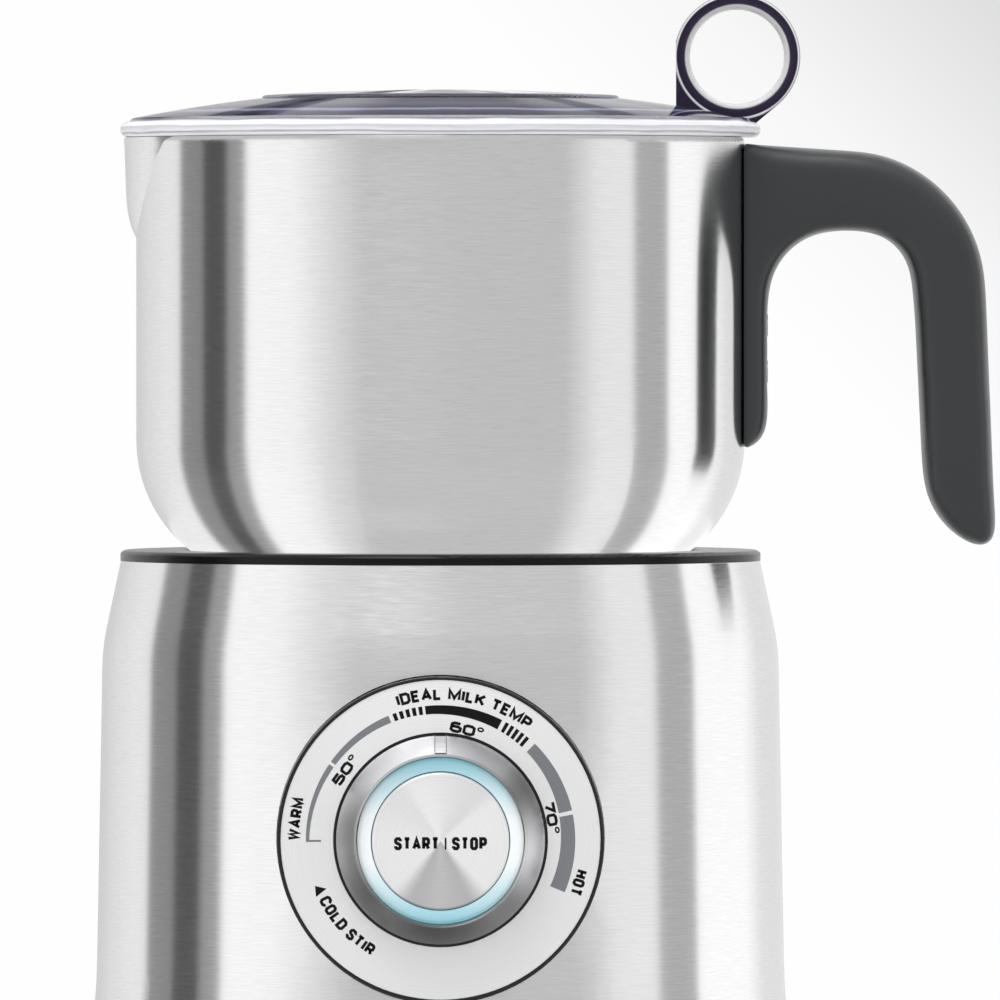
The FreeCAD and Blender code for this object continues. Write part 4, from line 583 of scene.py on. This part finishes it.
def bevel_strip(name, left_mm, right_mm, first, last, out_mm, material):
    """A thin strip that follows the knob's bevel at twelve o'clock."""
    verts = []
    for radius, out in bevel_line[first:last + 1]:
        for across in (left_mm, right_mm):
            verts.append(Vector((dial_x + across * MM,
                                 knob_face + (bevel_line[0][1] - out) * MM - out_mm * MM,
                                 dial_z + (radius + out_mm) * MM)))
    faces = [(k, k + 1, k + 3, k + 2) for k in range(0, len(verts) - 2, 2)]
    film_piece(name, verts, faces, strip_mm, material, "knob")


pointer_steel, _, metal = begin("polished_steel_inlay")
metal.inputs["Metallic"].default_value = 1.0
metal.inputs["Base Color"].default_value = paint("#d2d2d3")
metal.inputs["Roughness"].default_value = 0.45
bevel_strip("pointer_inlay", -1.0, 1.0, 0, 4, 0.12, pointer_steel)
# grey strips along the inlay's sides: painted shade for the slot's cut edges
bevel_strip("pointer_painted_shade_left", -1.16, -1.02, 0, 5, 0.1, grey_ink_and_painted_shade)
bevel_strip("pointer_painted_shade_right", 1.02, 1.16, 0, 5, 0.1, grey_ink_and_painted_shade)
bevel_strip("pointer_end", -1.01, 1.01, 4, 5, 0.12, black_ink)

# ---- jug ---------------------------------------------------------------------------
# Deep-drawn stainless steel, belt brushed; a thick aluminium-cored plate is bonded
# under it, and the black handle is screwed to a bracket welded on its side.

jug_steel = brushed_steel("brushed_stainless_jug", "#e5e5e5", 0.2, 4.0, 0.02)
give(jug_steel, "jug_body", "drive_post", "handle_bracket")
soft_touch = moulded("black_soft_touch", "#191d20", 0.4, 0.5, 0.01)
surface_of(soft_touch).inputs["Coat Weight"].default_value = 0.6
surface_of(soft_touch).inputs["Coat Roughness"].default_value = 0.35

handle_copy = nodes["handle"].data.copy()
handle_piece = bpy.data.objects.new("soft_handle", handle_copy)
bpy.context.scene.collection.objects.link(handle_piece)
bpy.context.view_layer.objects.active = handle_piece
handle_piece.select_set(True)
bpy.ops.object.mode_set(mode="EDIT")
bpy.ops.mesh.select_all(action="SELECT")
bpy.ops.mesh.remove_doubles(threshold=0.00001)
bpy.ops.object.mode_set(mode="OBJECT")
rebuilt = handle_piece.modifiers.new("even_skin", "REMESH")
rebuilt.mode = "VOXEL"
rebuilt.voxel_size = 0.7 * MM
bpy.ops.object.modifier_apply(modifier="even_skin")
# the root against the jug stays square, and the rest is sanded round
free = handle_piece.vertex_groups.new(name="sanded")
root_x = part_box("jug_body")[1].x + 0.5 * MM
blend_length = 5 * MM
for vertex in handle_copy.vertices:
    reach = (vertex.co.x - root_x) / blend_length
    free.add([vertex.index], min(1.0, max(0.0, reach)), "REPLACE")
sanded = handle_piece.modifiers.new("sanding", "SMOOTH")
sanded.factor = 0.5
sanded.iterations = 150
sanded.vertex_group = "sanded"
bpy.ops.object.modifier_apply(modifier="sanding")
bpy.ops.object.shade_smooth()
handle_piece.data.materials.clear()
handle_piece.data.materials.append(soft_touch)
handle_piece.select_set(False)
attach(handle_piece, "jug")
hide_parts("handle")
give(grey_nylon, "frothing_disc", "hub_cap")

# ---- lid, cap and finger ring ---------------------------------------------------------
# Clear copolyester with a smoke-violet tinge, polished, with painted highlight lines and painted
# shade bands in its colour; the silicone seal sits in the groove round the skirt.


def tinted_clear(name, stops, along, low_mm, high_mm, clarity, clears_from_mm=None):
    """Clear plastic whose colour follows a distance in mm: stops are (mm, colour, share of
    light let through), their colours a violet tinge with painted highlight lines and painted shade bands.
    Past clears_from_mm that colour shows only at a glance, as a wall seen along its length is deeper in
    colour than one seen through."""
    material, tree, glass = begin(name)
    glass.inputs["Roughness"].default_value = 0.04
    glass.inputs["IOR"].default_value = 1.2
    glass.inputs["Specular IOR Level"].default_value = clarity
    distance = along(tree)
    share = add(tree, "ShaderNodeMapRange", {1: low_mm * MM, 2: high_mm * MM}, {0: distance})
    tinge_with_painted_light = add(tree, "ShaderNodeValToRGB", wires={0: share.outputs[0]})
    through = add(tree, "ShaderNodeValToRGB", wires={0: share.outputs[0]})
    span_mm = high_mm - low_mm
    fill_ramp(tinge_with_painted_light.color_ramp, [((mm - low_mm) / span_mm, paint(code)) for mm, code, _ in stops])
    fill_ramp(through.color_ramp, [((mm - low_mm) / span_mm, grey(let)) for mm, _, let in stops])
    colour_with_painted_light, let = tinge_with_painted_light.outputs[0], through.outputs[0]
    if clears_from_mm:
        lean = add(tree, "ShaderNodeLayerWeight", {"Blend": 0.5})
        glance = add(tree, "ShaderNodeMapRange", {1: 0.5, 2: 0.75}, {0: lean.outputs["Facing"]})
        below = add(tree, "ShaderNodeMath", {"operation": "LESS_THAN", 1: clears_from_mm * MM},
                    {0: distance})
        shown = add(tree, "ShaderNodeMath", {"operation": "MAXIMUM"},
                    {0: glance.outputs[0], 1: below.outputs[0]})
        colour_with_painted_light = add(tree, "ShaderNodeMix", {"data_type": "RGBA", 6: paint("#e8e7ee")},
                   {0: shown.outputs[0], 7: colour_with_painted_light}).outputs[2]
        let = add(tree, "ShaderNodeMix", {2: 0.92}, {0: shown.outputs[0], 3: let}).outputs[0]
    tree.links.new(colour_with_painted_light, glass.inputs["Base Color"])
    tree.links.new(let, glass.inputs["Transmission Weight"])
    return material


def by_height(tree):
    """Height above the floor, wavering a little as moulded flow lines do; it places painted highlight and
    shade bands.
    """
    place = add(tree, "ShaderNodeTexCoord")
    spot = add(tree, "ShaderNodeSeparateXYZ", wires={0: place.outputs["Object"]})
    along_mm, across_mm, waver_mm = 14, 1.6, 0.15
    scale = (1 / (along_mm * MM), 1 / (along_mm * MM), 1 / (across_mm * MM))
    stretch = add(tree, "ShaderNodeMapping", {"Scale": scale}, {0: place.outputs["Object"]})
    flow = add(tree, "ShaderNodeTexNoise", {"Scale": 1.0, "Detail": 2.0}, {"Vector": stretch.outputs[0]})
    waver = add(tree, "ShaderNodeMapRange", {1: 0.3, 2: 0.7, 3: -waver_mm * MM, 4: waver_mm * MM},
                {0: flow.outputs[0]})
    wavy = add(tree, "ShaderNodeMath", {"operation": "ADD"}, {0: spot.outputs["Z"], 1: waver.outputs[0]})
    return wavy.outputs[0]


# middle of the finger ring's hole, in mm
ring_x = 57.8
ring_z = 208.1


def from_ring(tree):
    """Distance from the middle of the finger ring's hole, seen along Y."""
    place = add(tree, "ShaderNodeTexCoord")
    centred = add(tree, "ShaderNodeVectorMath", {"operation": "SUBTRACT", 1: (ring_x * MM, 0, ring_z * MM)},
                  {0: place.outputs["Object"]})
    flat = add(tree, "ShaderNodeVectorMath", {"operation": "MULTIPLY", 1: (1, 0, 1)}, {0: centred.outputs[0]})
    reach = add(tree, "ShaderNodeVectorMath", {"operation": "LENGTH"}, {0: flat.outputs[0]})
    return reach.outputs["Value"]


# lid: the white flange bands are painted highlight split by grey painted edge lines; the dome's violet tinge
# is deepened in bands by painted shade, with a painted highlight line at 197.4 mm
lid_clear = tinted_clear("clear_tinted_copolyester", [
    (192.0, "#f4f4f6", 0.15), (192.7, "#ffffff", 0.15), (193.1, "#b4b5bf", 0.2), (193.4, "#ffffff", 0.15),
    (194.2, "#cfd0d8", 0.15), (194.5, "#ffffff", 0.15), (195.2, "#f0f0f4", 0.15), (195.6, "#77778a", 0.2),
    (196.1, "#1d1a2a", 0.08), (197.0, "#3a3850", 0.08), (197.4, "#8c8fa6", 0.1), (197.7, "#28253a", 0.08),
    (198.6, "#4a495f", 0.08), (199.2, "#211e2f", 0.08), (200.4, "#1c1928", 0.08)],
    by_height, 192, 201, 0.04, 195.6)
# cap: the pale band at 200.3 mm is a painted highlight between bands of painted shade
cap_clear = tinted_clear("clear_copolyester_cap", [
    (186.0, "#d8d8e0", 0.8), (198.4, "#4c4b5e", 0.15), (199.2, "#2e2b3d", 0.1), (199.7, "#65667c", 0.15),
    (200.3, "#a4a7b8", 0.15), (200.9, "#4f5064", 0.15), (201.5, "#23202f", 0.1)],
    by_height, 186, 202, 0.06, 186.1)
# ring: a painted grey edge line at 10.3 mm and a painted white highlight line from 11.9 to 12.1 mm on the
# violet tinge
ring_clear = tinted_clear("clear_tinted_finger_ring", [
    (10.0, "#f4f4f8", 0.3), (10.3, "#55505f", 0.4), (10.5, "#3b3348", 0.25), (11.5, "#332c40", 0.25),
    (11.75, "#3b3448", 0.25), (11.9, "#ffffff", 0.2), (12.1, "#e8e8ee", 0.2), (12.35, "#332c40", 0.25),
    (20.0, "#3f3650", 0.25)], from_ring, 9.0, 20.0, 0.1)
give(lid_clear, "lid")
give(cap_clear, "measuring_cap")
give(ring_clear, "finger_ring")
give(silicone, "lid_seal")

# the hole's polished lip narrows to its middle
lip_section = [(10.24, -2.95), (9.55, -2.2), (9.2, -1.0), (9.15, 0.0), (9.2, 1.0), (9.55, 2.2), (10.24, 2.95)]
rim_steps = 96
verts = []
for step in range(rim_steps):
    angle = 2 * math.pi * step / rim_steps
    for radius, depth in lip_section:
        verts.append(Vector((ring_x + radius * math.cos(angle), depth,
                             ring_z + radius * math.sin(angle))) * MM)
faces = []
ribs = len(lip_section)
for step in range(rim_steps):
    for rib in range(ribs):
        a = step * ribs + rib
        b = step * ribs + (rib + 1) % ribs
        shift = ribs if step < rim_steps - 1 else ribs - rim_steps * ribs
        faces.append((a, b, b + shift, a + shift))
mesh = bpy.data.meshes.new("finger_ring_lip")
mesh.from_pydata(verts, [], faces)
ring_lip = bpy.data.objects.new("finger_ring_lip", mesh)
bpy.context.scene.collection.objects.link(ring_lip)
bpy.context.view_layer.objects.active = ring_lip
ring_lip.select_set(True)
bpy.ops.object.mode_set(mode="EDIT")
bpy.ops.mesh.select_all(action="SELECT")
bpy.ops.mesh.normals_make_consistent(inside=False)
bpy.ops.object.mode_set(mode="OBJECT")
bpy.ops.object.shade_smooth()
ring_lip.select_set(False)
# the clear lip gets a white, mostly opaque colour: a painted highlight round the hole
lip_painted_highlight, _, lip_glass = begin("polished_clear_lip_painted_highlight")
lip_glass.inputs["Base Color"].default_value = paint("#ffffff")
lip_glass.inputs["Transmission Weight"].default_value = 0.35
lip_glass.inputs["Roughness"].default_value = 0.05
lip_glass.inputs["IOR"].default_value = 1.5
mesh.materials.append(lip_painted_highlight)
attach(ring_lip, "lid")

# ---- light ring and button print --------------------------------------------------------
# A frosted acrylic ring glows round the button, bluer over the lamps at its top and
# bottom. The button's words are printed like the scale.

light_guide, tree, lens = begin("frosted_acrylic_light_guide")
lens.inputs["Roughness"].default_value = 0.35
place = add(tree, "ShaderNodeTexCoord")
spot = add(tree, "ShaderNodeSeparateXYZ", wires={0: place.outputs["Object"]})
lift = add(tree, "ShaderNodeMath", {"operation": "SUBTRACT", 1: dial_z}, {0: spot.outputs["Z"]})
off_middle = add(tree, "ShaderNodeMath", {"operation": "ABSOLUTE"}, {0: lift.outputs[0]})
lamp_share = add(tree, "ShaderNodeMapRange", {1: 4 * MM, 2: 15.5 * MM}, {0: off_middle.outputs[0]})
glow = add(tree, "ShaderNodeMix", {"data_type": "RGBA", 6: paint("#edf3f5"), 7: paint("#93cddb")},
           {0: lamp_share.outputs[0]})
tree.links.new(glow.outputs[2], lens.inputs["Emission Color"])
tree.links.new(glow.outputs[2], lens.inputs["Base Color"])
lens.inputs["Emission Strength"].default_value = 0.12
give(light_guide, "light_ring")

button_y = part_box("start_button")[0].y
words_drop = 0.5


def on_button(along, up):
    """Places flat print on the button's face, a little below its middle."""
    return Vector((dial_x + along * MM, button_y - ink_mm * MM, dial_z + (up - words_drop) * MM))


lettering("button_words", "START | STOP", 2.5, 17.7, black_ink, on_button, "button")
